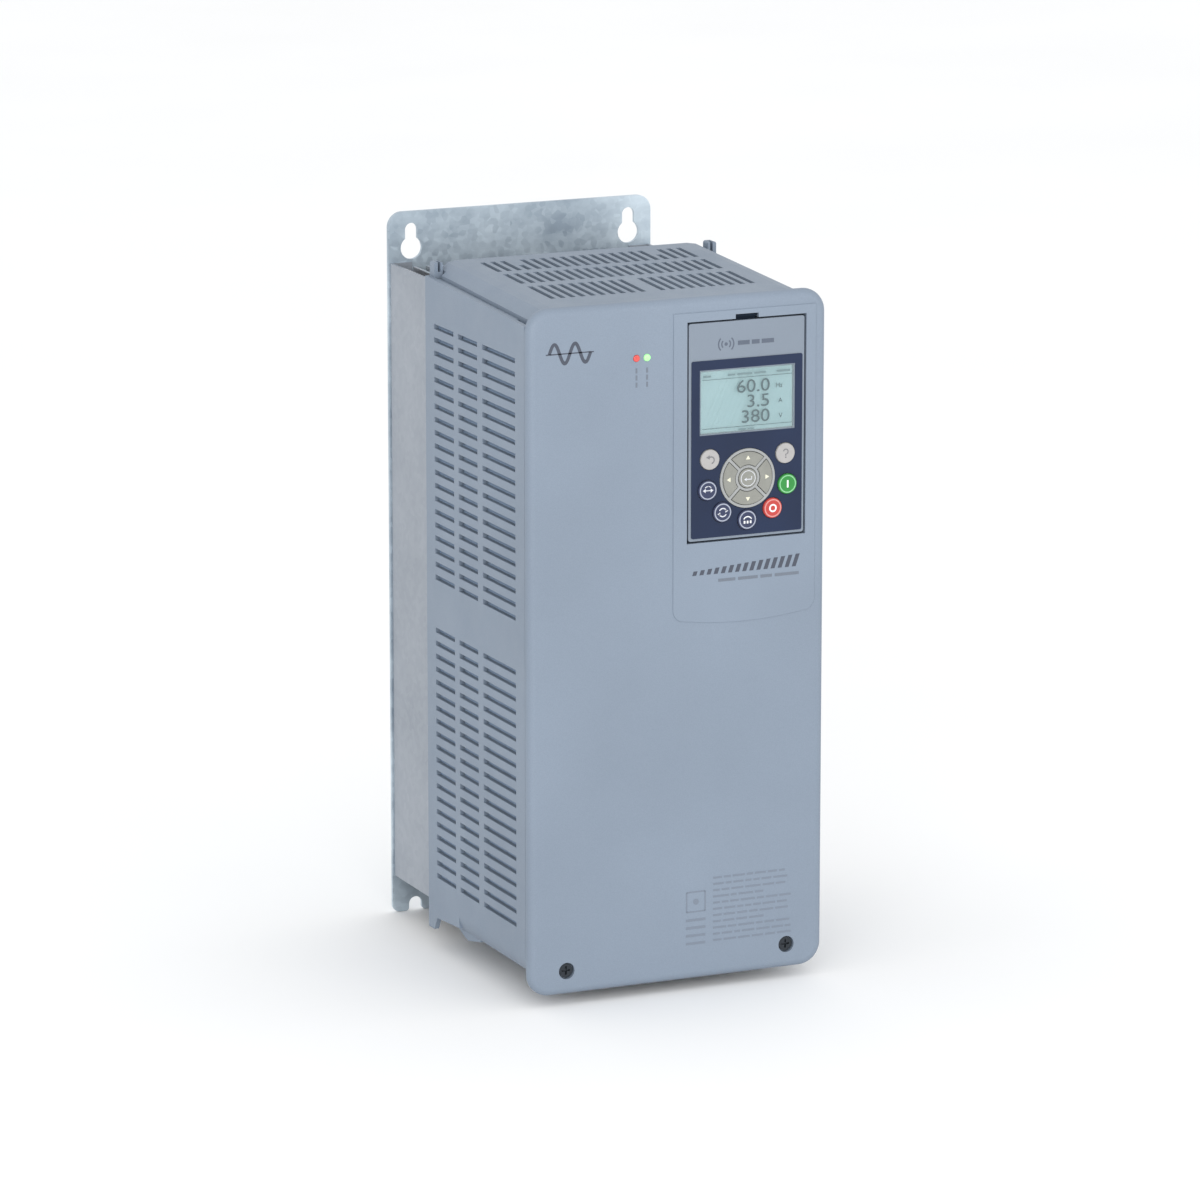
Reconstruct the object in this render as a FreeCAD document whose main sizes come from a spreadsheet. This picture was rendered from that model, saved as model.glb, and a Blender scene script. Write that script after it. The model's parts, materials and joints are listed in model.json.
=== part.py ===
import FreeCAD, Part
import math
import os
from types import SimpleNamespace

import Sketcher

# A wall-mounted variable frequency drive, about 164 x 202 x 377 mm.
# +X is to the right seen from the front, +Y goes into the wall, +Z is up. The origin is the
# centre of the wall fixing pattern, on the rear face of the back plate, so everything the
# drive holds lies at negative Y. Lengths are in millimetres.

V = FreeCAD.Vector
doc = FreeCAD.newDocument("Drive")
nodes = []

SIZES = {
    # back plate with its two hanging keyholes and two bottom notches
    "plate_half": 75.0,
    "plate_top": 191.7,
    "plate_low": 185.6,
    "plate_thick": 2.0,
    "plate_round_top": 8.0,
    "plate_round_low": 4.0,
    "hang_half": 62.0,
    "eye_height": 172.4,
    "eye_radius": 6.0,
    "neck_height": 182.0,
    "neck_radius": 3.5,
    "notch_height": 182.0,
    "notch_radius": 3.75,
    # air duct behind the housing, and the heat sink in it
    "duct_half": 74.2,
    "duct_end": 165.0,
    "duct_depth": 69.0,
    "sheet": 1.5,
    "sink_half": 70.0,
    "sink_base": 9.0,
    "sink_low": 128.0,
    "sink_top": 163.0,
    "fin_thick": 1.8,
    "fin_count": 20.0,
    "fin_rear": 6.0,
    # the two fans at the bottom of the duct
    "fan_side": 60.0,
    "fan_deep": 25.0,
    "fan_bore": 28.5,
    "fan_offset": 34.0,
    "fan_low": 158.0,
    "rotor_radius": 27.9,
    "rotor_hub": 12.5,
    "shaft_radius": 1.5,
    "shaft_fit": 0.05,
    # moulded housing
    "half_wide": 82.0,
    "wall": 2.5,
    "body_low": 171.0,
    "corner": 12.0,
    "body_front": 196.5,
    "body_rear": 69.0,
    "side_top_rear": 169.9,
    "side_top_front": 164.7,
    "post_top": 177.3,
    "lip_half": 62.0,
    "foot_low": 175.0,
    "foot_rear_end": 76.5,
    "foot_web": 168.0,
    "web_end": 110.0,
    "foot_wedge": 173.2,
    "wedge_start": 97.5,
    "wedge_end": 127.0,
    "gland_level": 160.0,
    "slot_tall": 2.6,
    "slot_pitch": 6.9,
    "slot_rows": 20.0,
    "slot_upper": 145.4,
    "slot_lower": 13.7,
    # vented top cover
    "top_half": 65.0,
    "top_edge": 70.0,
    "top_skirt": 76.4,
    "top_ease": 0.8,
    "top_drop": 5.6,
    "gutter": 3.4,
    "top_thick": 2.2,
    "top_front_height": 171.6,
    "top_slope": 2.35,
    "vent_wide": 2.8,
    "vent_pitch": 5.5,
    # front cover
    "cover_front": 201.5,
    "cover_gap": 0.3,
    "cover_top": 173.2,
    "cover_low": 180.0,
    "cover_round": 4.0,
    "cover_skin": 2.2,
    "pad_raise": 0.5,
    "pad_left": 3.0,
    "pad_right": 76.0,
    "pad_low": 8.0,
    "pad_top": 165.8,
    "screw_half": 61.5,
    "screw_height": 167.3,
    "recess_radius": 4.3,
    "recess_deep": 3.2,
    "screw_radius": 1.9,
    "light_radius": 1.75,
    "light_height": 145.0,
    # keypad
    "bay_centre": 37.45,
    "bay_half": 33.0,
    "bay_low": 47.9,
    "bay_top": 161.1,
    "bay_deep": 21.0,
    "bay_wall": 2.0,
    "bay_gap": 1.0,
    "latch_half": 6.4,
    "latch_notch": 2.3,
    "latch_travel": 1.5,
    "key_radius": 5.2,
    "key_gap": 0.3,
    "nav_x": 37.9,
    "nav_z": 79.2,
    "nav_radius": 15.2,
    "enter_radius": 5.0,
    # boards
    "board_thick": 1.6,
    "power_depth": 95.0,
    "control_depth": 157.0,
}


class Size:
    """A length that carries its number and the sheet expression that gives it."""

    def __init__(self, number, text):
        self.number = number
        self.text = text

    def __add__(self, other):
        other = as_size(other)
        return Size(self.number + other.number, f"({self.text} + {other.text})")

    def __sub__(self, other):
        other = as_size(other)
        return Size(self.number - other.number, f"({self.text} - {other.text})")

    def __mul__(self, factor):
        return Size(self.number * factor, f"({self.text} * ({factor}))")

    def __truediv__(self, factor):
        return Size(self.number / factor, f"({self.text} / {factor})")

    def __neg__(self):
        return self * -1

    def __radd__(self, other):
        return self + other

    def __rsub__(self, other):
        return -self + other

    __rmul__ = __mul__


def as_size(value):
    return value if isinstance(value, Size) else Size(float(value), f"({float(value)})")


def fill_sheet():
    """Put the driving dimensions in a sheet and return them as Size values."""
    sheet = doc.addObject("Spreadsheet::Sheet", "Dims")
    for row, (alias, value) in enumerate(SIZES.items(), start=1):
        sheet.set(f"A{row}", alias)
        sheet.set(f"B{row}", str(value))
        sheet.setAlias(f"B{row}", alias)
    doc.recompute()
    return SimpleNamespace(**{alias: Size(value, f"Dims.{alias}") for alias, value in SIZES.items()})


s = fill_sheet()


# --- sketches and features ------------------------------------------------------------------

def new_body(label):
    body = doc.addObject("PartDesign::Body", label)
    body.Label = label
    nodes.append(body)
    return body


def sketch_on(body, role, offset=0.0):
    """A sketch on one of the body's origin planes, moved along the plane's normal.

    XZ_Plane has its normal along -Y, so an offset there is a distance out from the wall.
    """
    sketch = body.newObject("Sketcher::SketchObject", body.Name + "_sketch")
    plane = next(item for item in body.Origin.OriginFeatures if item.Role == role)
    sketch.AttachmentSupport = (plane, [""])
    sketch.MapMode = "FlatFace"
    offset = as_size(offset)
    sketch.AttachmentOffset = FreeCAD.Placement(V(0, 0, offset.number), FreeCAD.Rotation())
    sketch.setExpression("AttachmentOffset.Base.z", offset.text)
    return sketch


def bind(sketch, index, size):
    """Tie a sketch constraint to the sheet when its value comes from there."""
    if "Dims" in size.text:
        sketch.setExpression(f"Constraints[{index}]", size.text)


def place_point(sketch, geometry, end, x, y):
    for kind, size in (("DistanceX", as_size(x)), ("DistanceY", as_size(y))):
        index = sketch.addConstraint(Sketcher.Constraint(kind, -1, 1, geometry, end, size.number))
        bind(sketch, index, size)


def polygon(sketch, points):
    """A closed outline through points that are each held by their two distances."""
    spots = [V(as_size(x).number, as_size(y).number, 0) for x, y in points]
    lines = []
    for start, end in zip(spots, spots[1:] + spots[:1]):
        lines.append(sketch.addGeometry(Part.LineSegment(start, end), False))
    for line, following in zip(lines, lines[1:] + lines[:1]):
        sketch.addConstraint(Sketcher.Constraint("Coincident", line, 2, following, 1))
    for line, (x, y) in zip(lines, points):
        place_point(sketch, line, 1, x, y)


def rectangle(sketch, x_low, x_high, y_low, y_high):
    polygon(sketch, [(x_low, y_low), (x_high, y_low), (x_high, y_high), (x_low, y_high)])


def circle(sketch, x, y, radius):
    radius = as_size(radius)
    centre = V(as_size(x).number, as_size(y).number, 0)
    shape = sketch.addGeometry(Part.Circle(centre, V(0, 0, 1), radius.number), False)
    place_point(sketch, shape, 3, x, y)
    index = sketch.addConstraint(Sketcher.Constraint("Radius", shape, radius.number))
    bind(sketch, index, radius)


def extrude(body, kind, sketch, length, backwards=False):
    feature = body.newObject("PartDesign::" + kind, f"{body.Name}_{kind}")
    feature.Profile = sketch
    length = as_size(length)
    feature.Length = length.number
    feature.setExpression("Length", length.text)
    feature.Reversed = backwards
    doc.recompute()
    return feature


def pad(body, sketch, length, backwards=False):
    return extrude(body, "Pad", sketch, length, backwards)


def pocket(body, sketch, length, backwards=False):
    """Cut the sketch out of the body, and make sure that something was cut."""
    before = body.Shape.Volume
    feature = extrude(body, "Pocket", sketch, length, backwards)
    if body.Shape.Volume > before - 1e-3:
        raise RuntimeError(f"{body.Label}: a pocket cuts nothing")
    return feature


def pattern(body, feature, sketch, axis, pitch, count, second=None):
    """Repeat a feature along a sketch axis, and along a second one if it is given."""
    rows = body.newObject("PartDesign::LinearPattern", body.Name + "_pattern")
    rows.Originals = [feature]
    rows.Direction = (sketch, [axis])
    rows.Occurrences = int(count)
    rows.Length = pitch.number * (count - 1)
    rows.setExpression("Length", (pitch * (count - 1)).text)
    if second:
        rows.Direction2 = (sketch, [second[0]])
        rows.Occurrences2 = second[2]
        rows.Length2 = second[1]
    body.Tip = rows
    doc.recompute()
    return rows


def round_edges(body, radius, chosen):
    """Fillet the edges of the body's tip that the test accepts."""
    tip = body.Tip
    names = [f"Edge{i}" for i, edge in enumerate(tip.Shape.Edges, start=1) if chosen(edge)]
    feature = body.newObject("PartDesign::Fillet", body.Name + "_fillet")
    feature.Base = (tip, names)
    radius = as_size(radius)
    feature.Radius = radius.number
    feature.setExpression("Radius", radius.text)
    doc.recompute()


def runs_along(edge, axis):
    """True for a straight edge along the named axis."""
    if edge.Curve.TypeId != "Part::GeomLine":
        return False
    direction = edge.Curve.Direction
    return abs(getattr(direction, axis)) > 0.999


def at_plane(edge, axis, value):
    """True for an edge that lies in the plane where the named axis has this value."""
    box = edge.BoundBox
    low = getattr(box, axis.upper() + "Min")
    high = getattr(box, axis.upper() + "Max")
    return abs(low - value) < 1e-3 and abs(high - value) < 1e-3


# --- primitives and booleans ----------------------------------------------------------------

def block(name, x, y, z):
    """A box between three pairs of limits."""
    solid = doc.addObject("Part::Box", name)
    for prop, axis, (low, high) in zip(("Length", "Width", "Height"), "xyz", (x, y, z)):
        low = as_size(low)
        high = as_size(high)
        solid.setExpression(prop, (high - low).text)
        solid.setExpression("Placement.Base." + axis, low.text)
    return solid


AXIS_TURNS = {
    "x": FreeCAD.Rotation(V(0, 1, 0), 90),
    "y": FreeCAD.Rotation(V(1, 0, 0), -90),
    "z": FreeCAD.Rotation(),
}


def rod(name, radius, axis, start, end, *centre):
    """A cylinder along an axis from start to end, centred on the other two coordinates."""
    solid = doc.addObject("Part::Cylinder", name)
    start = as_size(start)
    solid.setExpression("Radius", as_size(radius).text)
    solid.setExpression("Height", (as_size(end) - start).text)
    solid.Placement = FreeCAD.Placement(V(0, 0, 0), AXIS_TURNS[axis])
    spot = dict(zip([name for name in "xyz" if name != axis], centre))
    spot[axis] = start
    for letter, size in spot.items():
        solid.setExpression("Placement.Base." + letter, as_size(size).text)
    return solid


def cut(name, base, *tools):
    result = doc.addObject("Part::Cut", name)
    result.Base = base
    result.Tool = tools[0] if len(tools) == 1 else fuse(name + "_tools", *tools)
    return result


def fuse(name, *shapes):
    result = doc.addObject("Part::MultiFuse", name)
    result.Shapes = list(shapes)
    return result


def together(name, *shapes):
    """Several separate solids in one piece of the list."""
    result = doc.addObject("Part::Compound", name)
    result.Links = list(shapes)
    return result


def node(piece, label=None):
    piece.Label = label or piece.Name
    nodes.append(piece)
    return piece


# --- wall plate, duct and cooling -----------------------------------------------------------

def back_plate():
    body = new_body("back_plate")
    outline = sketch_on(body, "XZ_Plane")
    rectangle(outline, -s.plate_half, s.plate_half, -s.plate_low, s.plate_top)
    pad(body, outline, s.plate_thick)
    round_edges(body, s.plate_round_top, lambda e: runs_along(e, "y") and e.BoundBox.ZMin > 0)
    round_edges(body, s.plate_round_low, lambda e: runs_along(e, "y") and e.BoundBox.ZMax < 0)
    eyes = sketch_on(body, "XZ_Plane", s.plate_thick)
    necks = sketch_on(body, "XZ_Plane", s.plate_thick)
    ends = sketch_on(body, "XZ_Plane", s.plate_thick)
    for side in (-1, 1):
        x = s.hang_half * side
        circle(eyes, x, s.eye_height, s.eye_radius)
        rectangle(necks, x - s.neck_radius, x + s.neck_radius, s.eye_height, s.neck_height)
        circle(ends, x, s.neck_height, s.neck_radius)
        rectangle(necks, x - s.notch_radius, x + s.notch_radius, -s.plate_low - 1, -s.notch_height)
        circle(ends, x, -s.notch_height, s.notch_radius)
    for sketch in (eyes, necks, ends):
        pocket(body, sketch, s.plate_thick)
    mouth = 5.0
    round_edges(body, 1.8, lambda e: runs_along(e, "y") and at_plane(e, "z", -SIZES["plate_low"])
                and abs(abs(e.BoundBox.XMin) - SIZES["hang_half"]) < mouth)


def duct_side(label, side):
    """One side sheet of the duct, folded in against the back plate."""
    body = new_body(label)
    profile = sketch_on(body, "XY_Plane", -s.duct_end)
    inner = s.duct_half - s.sheet
    fold = 12.0
    points = [
        (s.duct_half, -s.plate_thick),
        (s.duct_half, -s.duct_depth),
        (inner, -s.duct_depth),
        (inner, -s.plate_thick - s.sheet),
        (s.duct_half - fold, -s.plate_thick - s.sheet),
        (s.duct_half - fold, -s.plate_thick),
    ]
    polygon(profile, [(x * side, y) for x, y in points])
    pad(body, profile, s.duct_end * 2)
    round_edges(body, 1.4, lambda e: runs_along(e, "z")
                and at_plane(e, "y", -SIZES["plate_thick"])
                and at_plane(e, "x", SIZES["duct_half"] * side))


def heat_sink():
    body = new_body("heat_sink")
    base = sketch_on(body, "XY_Plane", -s.sink_low)
    rear = -s.duct_depth + s.sink_base
    rectangle(base, -s.sink_half, s.sink_half, -s.duct_depth, rear)
    pad(body, base, s.sink_low + s.sink_top)
    fin = sketch_on(body, "XY_Plane", -s.sink_low)
    rectangle(fin, -s.sink_half, -s.sink_half + s.fin_thick, rear, -s.fin_rear)
    first = pad(body, fin, s.sink_low + s.sink_top)
    gaps = SIZES["fin_count"] - 1
    pitch = (s.sink_half * 2 - s.fin_thick) / gaps
    pattern(body, first, fin, "H_Axis", pitch, SIZES["fin_count"])


def fan_frame(label, side):
    """A square fan frame: a bored ring with a cross that carries the shaft's bearing tube."""
    body = new_body(label)
    half = s.fan_side / 2
    square = sketch_on(body, "XY_Plane")
    rectangle(square, -half, half, -half, half)
    pad(body, square, s.fan_deep)
    round_edges(body, 4.0, lambda e: runs_along(e, "z"))
    bore = sketch_on(body, "XY_Plane", s.fan_deep)
    circle(bore, 0, 0, s.fan_bore)
    pocket(body, bore, s.fan_deep)
    corners = sketch_on(body, "XY_Plane", s.fan_deep)
    for x in (-25, 25):
        for y in (-25, 25):
            circle(corners, x, y, 2.2)
    pocket(body, corners, s.fan_deep)
    cross = sketch_on(body, "XY_Plane")
    reach = s.fan_bore + 1
    rectangle(cross, -reach, reach, -2, 2)
    pad(body, cross, 3)
    second = sketch_on(body, "XY_Plane")
    rectangle(second, -2, 2, -reach, reach)
    pad(body, second, 3)
    motor = sketch_on(body, "XY_Plane")
    circle(motor, 0, 0, s.rotor_hub)
    pad(body, motor, 3)
    tube = sketch_on(body, "XY_Plane")
    circle(tube, 0, 0, 4.5)
    pad(body, tube, 18)
    bearing = sketch_on(body, "XY_Plane", 18)
    circle(bearing, 0, 0, s.shaft_radius + s.shaft_fit)
    pocket(body, bearing, 17)
    body.Placement.Base = fan_centre(side)


def fan_centre(side):
    middle = (SIZES["duct_depth"] + SIZES["plate_thick"]) / 2
    return V(SIZES["fan_offset"] * side, -middle, -SIZES["fan_low"])


def fan_rotor(label, side):
    """A cup with seven pitched blades, and a shaft that hangs in the frame's bearing tube."""
    low = 4.0
    high = 24.0
    root = 11.5
    long = 18.5
    chord = 20.0
    thick = 1.2
    pitch = 38.0
    hub = rod(label + "_hub", s.rotor_hub, "z", low, high, 0, 0)
    hollow = rod(label + "_hollow", s.rotor_hub - 2, "z", low - 1, high - 3, 0, 0)
    shaft = rod(label + "_shaft", s.shaft_radius, "z", 2, high - 2, 0, 0)
    blades = []
    count = 7
    for turn in range(count):
        blade = doc.addObject("Part::Box", f"{label}_blade_{turn}")
        blade.Length = long
        blade.Width = chord
        blade.Height = thick
        around = FreeCAD.Rotation(V(0, 0, 1), 360.0 / count * turn)
        turned = around.multiply(FreeCAD.Rotation(V(1, 0, 0), pitch))
        corner = turned.multVec(V(root, -chord / 2, -thick / 2))
        blade.Placement = FreeCAD.Placement(V(0, 0, (low + high) / 2) + corner, turned)
        blades.append(blade)
    trimmed = doc.addObject("Part::Common", label + "_trimmed")
    trimmed.Base = fuse(label + "_blades", *blades)
    trimmed.Tool = rod(label + "_reach", s.rotor_radius, "z", low, high, 0, 0)
    core = cut(label + "_core", hub, hollow)
    eye = rod(label + "_eye", s.rotor_hub - 1, "z", low, high, 0, 0)
    rotor = fuse(label, core, shaft, cut(label + "_ring", trimmed, eye))
    rotor.Placement.Base = fan_centre(side)
    node(rotor)


def fan_tray():
    """The sheet on top of both fans, with a round opening over each."""
    body = new_body("fan_tray")
    level = s.fan_deep - s.fan_low
    inner = s.duct_half - s.sheet - 0.2
    sheet = sketch_on(body, "XY_Plane", level)
    rectangle(sheet, -inner, inner, -s.duct_depth + 0.2, -s.plate_thick - s.sheet - 0.2)
    pad(body, sheet, s.sheet)
    openings = sketch_on(body, "XY_Plane", level + s.sheet)
    for side in (-1, 1):
        centre = fan_centre(side)
        circle(openings, centre.x, centre.y, s.fan_bore)
    pocket(body, openings, s.sheet)


def fan_guards():
    """A round wire finger guard under each fan."""
    wire = 0.9
    guards = []
    for side in (-1, 1):
        centre = fan_centre(side)
        level = -s.fan_low - wire
        parts = []
        for number, radius in enumerate((8, 14, 20, 26)):
            ring = doc.addObject("Part::Torus", f"guard_ring_{side + 1}_{number}")
            ring.Radius1 = radius
            ring.Radius2 = wire
            ring.Placement.Base = V(centre.x, centre.y, -SIZES["fan_low"] - wire)
            parts.append(ring)
        x = s.fan_offset * side
        for number, angle in enumerate((45, 135)):
            bar = rod(f"guard_bar_{side + 1}_{number}", wire, "x", x - 33, x + 33, centre.y, level)
            spin = FreeCAD.Placement(V(0, 0, 0), FreeCAD.Rotation(V(0, 0, 1), angle),
                                     V(centre.x, centre.y, 0))
            holder = together(f"guard_turn_{side + 1}_{number}", bar)
            holder.Placement = spin
            parts.append(holder)
        guards.append(fuse(f"guard_{side + 1}", *parts))
    node(together("fan_guards", *guards))


# --- housing --------------------------------------------------------------------------------

# slot columns of a side panel, as distances from the wall
SIDE_COLUMNS = ((-185.0, -143.2), (-136.7, -112.0), (-106.0, -80.5))
# vent rows of the top: front end, rear end, and the columns left out (0) or cut short
VENT_ROWS = ((25.0, 55.5, (0,)), (62.9, 86.5, ()), (92.9, 116.5, (-7, 7)))
VENT_STEPS = 10


def housing_side(label, side):
    """A side panel with its rounded lower corner, sloped top edge and two fields of slots."""
    body = new_body(label)
    wide = s.half_wide
    inner = wide - s.wall
    depth = s.body_front - s.body_rear
    wall = sketch_on(body, "XZ_Plane", s.body_rear)
    floor = s.body_low - s.wall
    points = [
        (wide, s.side_top_rear),
        (wide, -s.body_low),
        (s.lip_half, -s.body_low),
        (s.lip_half, -floor),
        (inner, -floor),
        (inner, s.side_top_rear),
    ]
    polygon(wall, [(x * side, z) for x, z in points])
    pad(body, wall, depth)
    round_edges(body, s.corner, lambda e: runs_along(e, "y")
                and at_plane(e, "z", -SIZES["body_low"])
                and at_plane(e, "x", SIZES["half_wide"] * side))
    round_edges(body, s.corner - s.wall, lambda e: runs_along(e, "y")
                and at_plane(e, "z", SIZES["wall"] - SIZES["body_low"])
                and at_plane(e, "x", (SIZES["half_wide"] - SIZES["wall"]) * side))
    above = s.side_top_rear + 5
    slope = sketch_on(body, "YZ_Plane", -wide - 1)
    polygon(slope, [
        (-s.body_rear, s.side_top_rear),
        (-s.body_front - 1, s.side_top_front),
        (-s.body_front - 1, above),
        (-s.body_rear, above),
    ])
    pocket(body, slope, (wide + 1) * 2, backwards=True)
    cut_side_slots(body)
    housing_feet(body, side)
    housing_post(body, side)
    screw_boss(body, side)


def cut_side_slots(body):
    """Two fields of slots, each with three columns, cut through a side panel."""
    outside = s.half_wide + 1
    slots = sketch_on(body, "YZ_Plane", -outside)
    for low, high in SIDE_COLUMNS:
        for top in (s.slot_upper, -s.slot_lower):
            rectangle(slots, low, high, top - s.slot_tall / 2, top + s.slot_tall / 2)
    first = pocket(body, slots, outside * 2, backwards=True)
    rows = pattern(body, first, slots, "V_Axis", s.slot_pitch, SIZES["slot_rows"])
    rows.Reversed = True


def outline_foot(body, side, inner, outer, points):
    """A foot with the given outline seen from the side, between two distances from the middle."""
    start = inner if side > 0 else -outer
    outline = sketch_on(body, "YZ_Plane", start)
    polygon(outline, points)
    pad(body, outline, outer - inner)


def housing_feet(body, side):
    """Two feet under a side panel: a tab with a web at its rear edge, and a low wedge."""
    ankle = s.corner - s.body_low + 1
    outline_foot(body, side, s.half_wide - s.wall, s.half_wide, [
        (-s.body_rear, -s.foot_low),
        (-s.foot_rear_end, -s.foot_low),
        (-s.foot_rear_end - 4, -s.foot_web),
        (-s.web_end, 2 - s.foot_web),
        (-s.web_end, ankle),
        (-s.body_rear, ankle),
    ])
    sole = -s.foot_wedge
    seam = s.wall - s.body_low
    outline_foot(body, side, s.half_wide - 10, s.half_wide - 5, [
        (-s.wedge_start, seam),
        (-s.wedge_start - 1, sole + 3),
        (-s.wedge_start - 9, sole + 0.4),
        (-s.wedge_start - 13, sole),
        (-s.wedge_end, sole + 3.5),
        (-s.wedge_end, seam),
    ])


def housing_post(body, side):
    """The small slotted post at the rear end of a side panel's top edge."""
    deep = 6
    tall = 8
    inner = s.half_wide - 7.4
    outer = s.half_wide - 2.6
    foot = sketch_on(body, "XY_Plane", s.side_top_rear - tall)
    rectangle(foot, inner * side, (outer + 1) * side, -s.body_rear - deep, -s.body_rear)
    pad(body, foot, tall - 1)
    post = sketch_on(body, "XY_Plane", s.side_top_rear - 2)
    rectangle(post, inner * side, outer * side, -s.body_rear - deep, -s.body_rear)
    pad(body, post, s.post_top - s.side_top_rear + 2)
    round_edges(body, 1.2, lambda e: at_plane(e, "z", SIZES["post_top"]) and runs_along(e, "y"))
    notch = sketch_on(body, "XZ_Plane", s.body_rear + deep)
    rectangle(notch, (inner + 1.4) * side, (inner + 2.8) * side, s.post_top - 5, s.post_top + 1)
    pocket(body, notch, deep - 2)


def screw_boss(body, side):
    """The boss at the lower front corner that takes one of the cover's screws."""
    long = 7
    x = s.screw_half * side
    boss = sketch_on(body, "XZ_Plane", s.body_front - long)
    rectangle(boss, x - 4, x + 4, -s.body_low, -s.screw_height + 4)
    pad(body, boss, long)
    pilot = sketch_on(body, "XZ_Plane", s.body_front)
    circle(pilot, x, -s.screw_height, s.screw_radius + 0.1)
    pocket(body, pilot, long)


def top_cover():
    """The vented top: a flat tray with sloped shoulders and a gutter along each side panel."""
    body = new_body("top_cover")
    length = s.body_front - s.body_rear - 1
    profile = sketch_on(body, "XZ_Plane")
    lip = s.half_wide - s.wall - 0.3
    gutter = -s.top_drop - s.gutter
    half_profile = [
        (s.top_half, 0),
        (s.top_edge, -s.top_ease),
        (s.top_skirt, -s.top_drop),
        (s.top_skirt, gutter),
        (lip, gutter),
        (lip, gutter - s.sheet),
        (s.top_skirt - s.top_thick, gutter - s.sheet),
        (s.top_skirt - s.top_thick, -s.top_drop - 1),
        (s.top_edge - 1, -s.top_ease - s.top_thick),
        (s.top_half, -s.top_thick),
    ]
    polygon(profile, half_profile + [(-x, z) for x, z in reversed(half_profile)])
    pad(body, profile, length, backwards=True)
    half = s.vent_wide / 2
    for front, rear, missing in VENT_ROWS:
        vents = sketch_on(body, "XY_Plane")
        for step in range(-VENT_STEPS, VENT_STEPS + 1):
            x = s.vent_pitch * step
            if step not in missing:
                rectangle(vents, x - half, x + half, front, rear)
            elif step:
                rectangle(vents, x - half, x + half, front, (front + rear) / 2)
        pocket(body, vents, 4)
    corners = sketch_on(body, "XY_Plane", 1)
    for side in (-1, 1):
        rectangle(corners, (s.half_wide - 8) * side, s.half_wide * side, length - 8, length + 1)
    pocket(body, corners, 14)
    slope = FreeCAD.Rotation(V(1, 0, 0), SIZES["top_slope"])
    spot = V(0, -SIZES["body_front"] + 0.2, SIZES["top_front_height"])
    body.Placement = FreeCAD.Placement(spot, slope)


# cable entries in the gland plate: x, distance out from the wall, hole radius
ENTRIES = ((-50.0, 160.0, 14.0), (-14.0, 160.0, 14.0), (22.0, 160.0, 14.0), (53.0, 160.0, 10.0))


def gland_plate():
    """The bottom plate between the side panels, with a hole for each grommet."""
    body = new_body("gland_plate")
    level = -s.gland_level
    inner = s.half_wide - s.wall - 0.2
    sheet = sketch_on(body, "XY_Plane", level)
    rectangle(sheet, -inner, inner, -s.body_front + 9, -s.body_rear - s.sheet)
    pad(body, sheet, s.sheet)
    round_edges(body, 6.0, lambda e: runs_along(e, "z") and e.BoundBox.YMax < -150)
    holes = sketch_on(body, "XY_Plane", level + s.sheet)
    for x, out, radius in ENTRIES:
        circle(holes, x, -out, radius)
    pocket(body, holes, s.sheet)


def grommets():
    """Rubber rings in the gland plate, open for the cables."""
    level = -s.gland_level
    flange = 3
    wider = 2.5
    rings = []
    for number, (x, out, radius) in enumerate(ENTRIES):
        name = f"grommet_{number}"
        top = level + s.sheet
        neck = rod(name + "_neck", radius, "z", level - flange, top + flange, x, -out)
        under = rod(name + "_under", radius + wider, "z", level - flange, level, x, -out)
        over = rod(name + "_over", radius + wider, "z", top, top + flange, x, -out)
        bore = rod(name + "_bore", radius - wider, "z", level - flange - 1, top + flange + 1,
                   x, -out)
        rings.append(cut(name, fuse(name + "_ring", neck, under, over), bore))
    node(together("cable_grommets", *rings))


# --- front cover ----------------------------------------------------------------------------

# the indicator lights' places across the cover, and the height of the keypad's plug
LIGHTS = {"led_fault": -23.2, "led_run": -17.4}
PLUG_HEIGHT = 101.0


def front_cover():
    """The front cover: a shallow shell, a raised pad and a deep bay for the keypad."""
    body = new_body("front_cover")
    back = s.body_front + s.cover_gap
    deep = s.cover_front - back
    wide = s.half_wide
    outline = sketch_on(body, "XZ_Plane", back)
    rectangle(outline, -wide, wide, -s.cover_low, s.cover_top)
    pad(body, outline, deep)
    round_edges(body, s.corner, lambda e: runs_along(e, "y"))
    round_edges(body, s.cover_round, lambda e: at_plane(e, "y", -SIZES["cover_front"]))
    hollow = sketch_on(body, "XZ_Plane", back)
    rim = 4
    inside = wide - rim + 0.5
    rectangle(hollow, -inside, inside, -s.cover_low + rim, s.cover_top - rim)
    pocket(body, hollow, deep - s.cover_skin, backwards=True)
    raised = sketch_on(body, "XZ_Plane", s.cover_front - 1)
    pad_outline(raised)
    pad(body, raised, s.pad_raise + 1)
    round_edges(body, 0.4, lambda e: at_plane(e, "y", -SIZES["cover_front"] - SIZES["pad_raise"]))
    keypad_bay(body)
    cover_holes(body, back, deep)
    hooks = sketch_on(body, "XZ_Plane", back - 8)
    for x in (-45, 45):
        rectangle(hooks, x - 5, x + 5, s.cover_top - 6.8, s.cover_top - 4.8)
    pad(body, hooks, 11)


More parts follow.
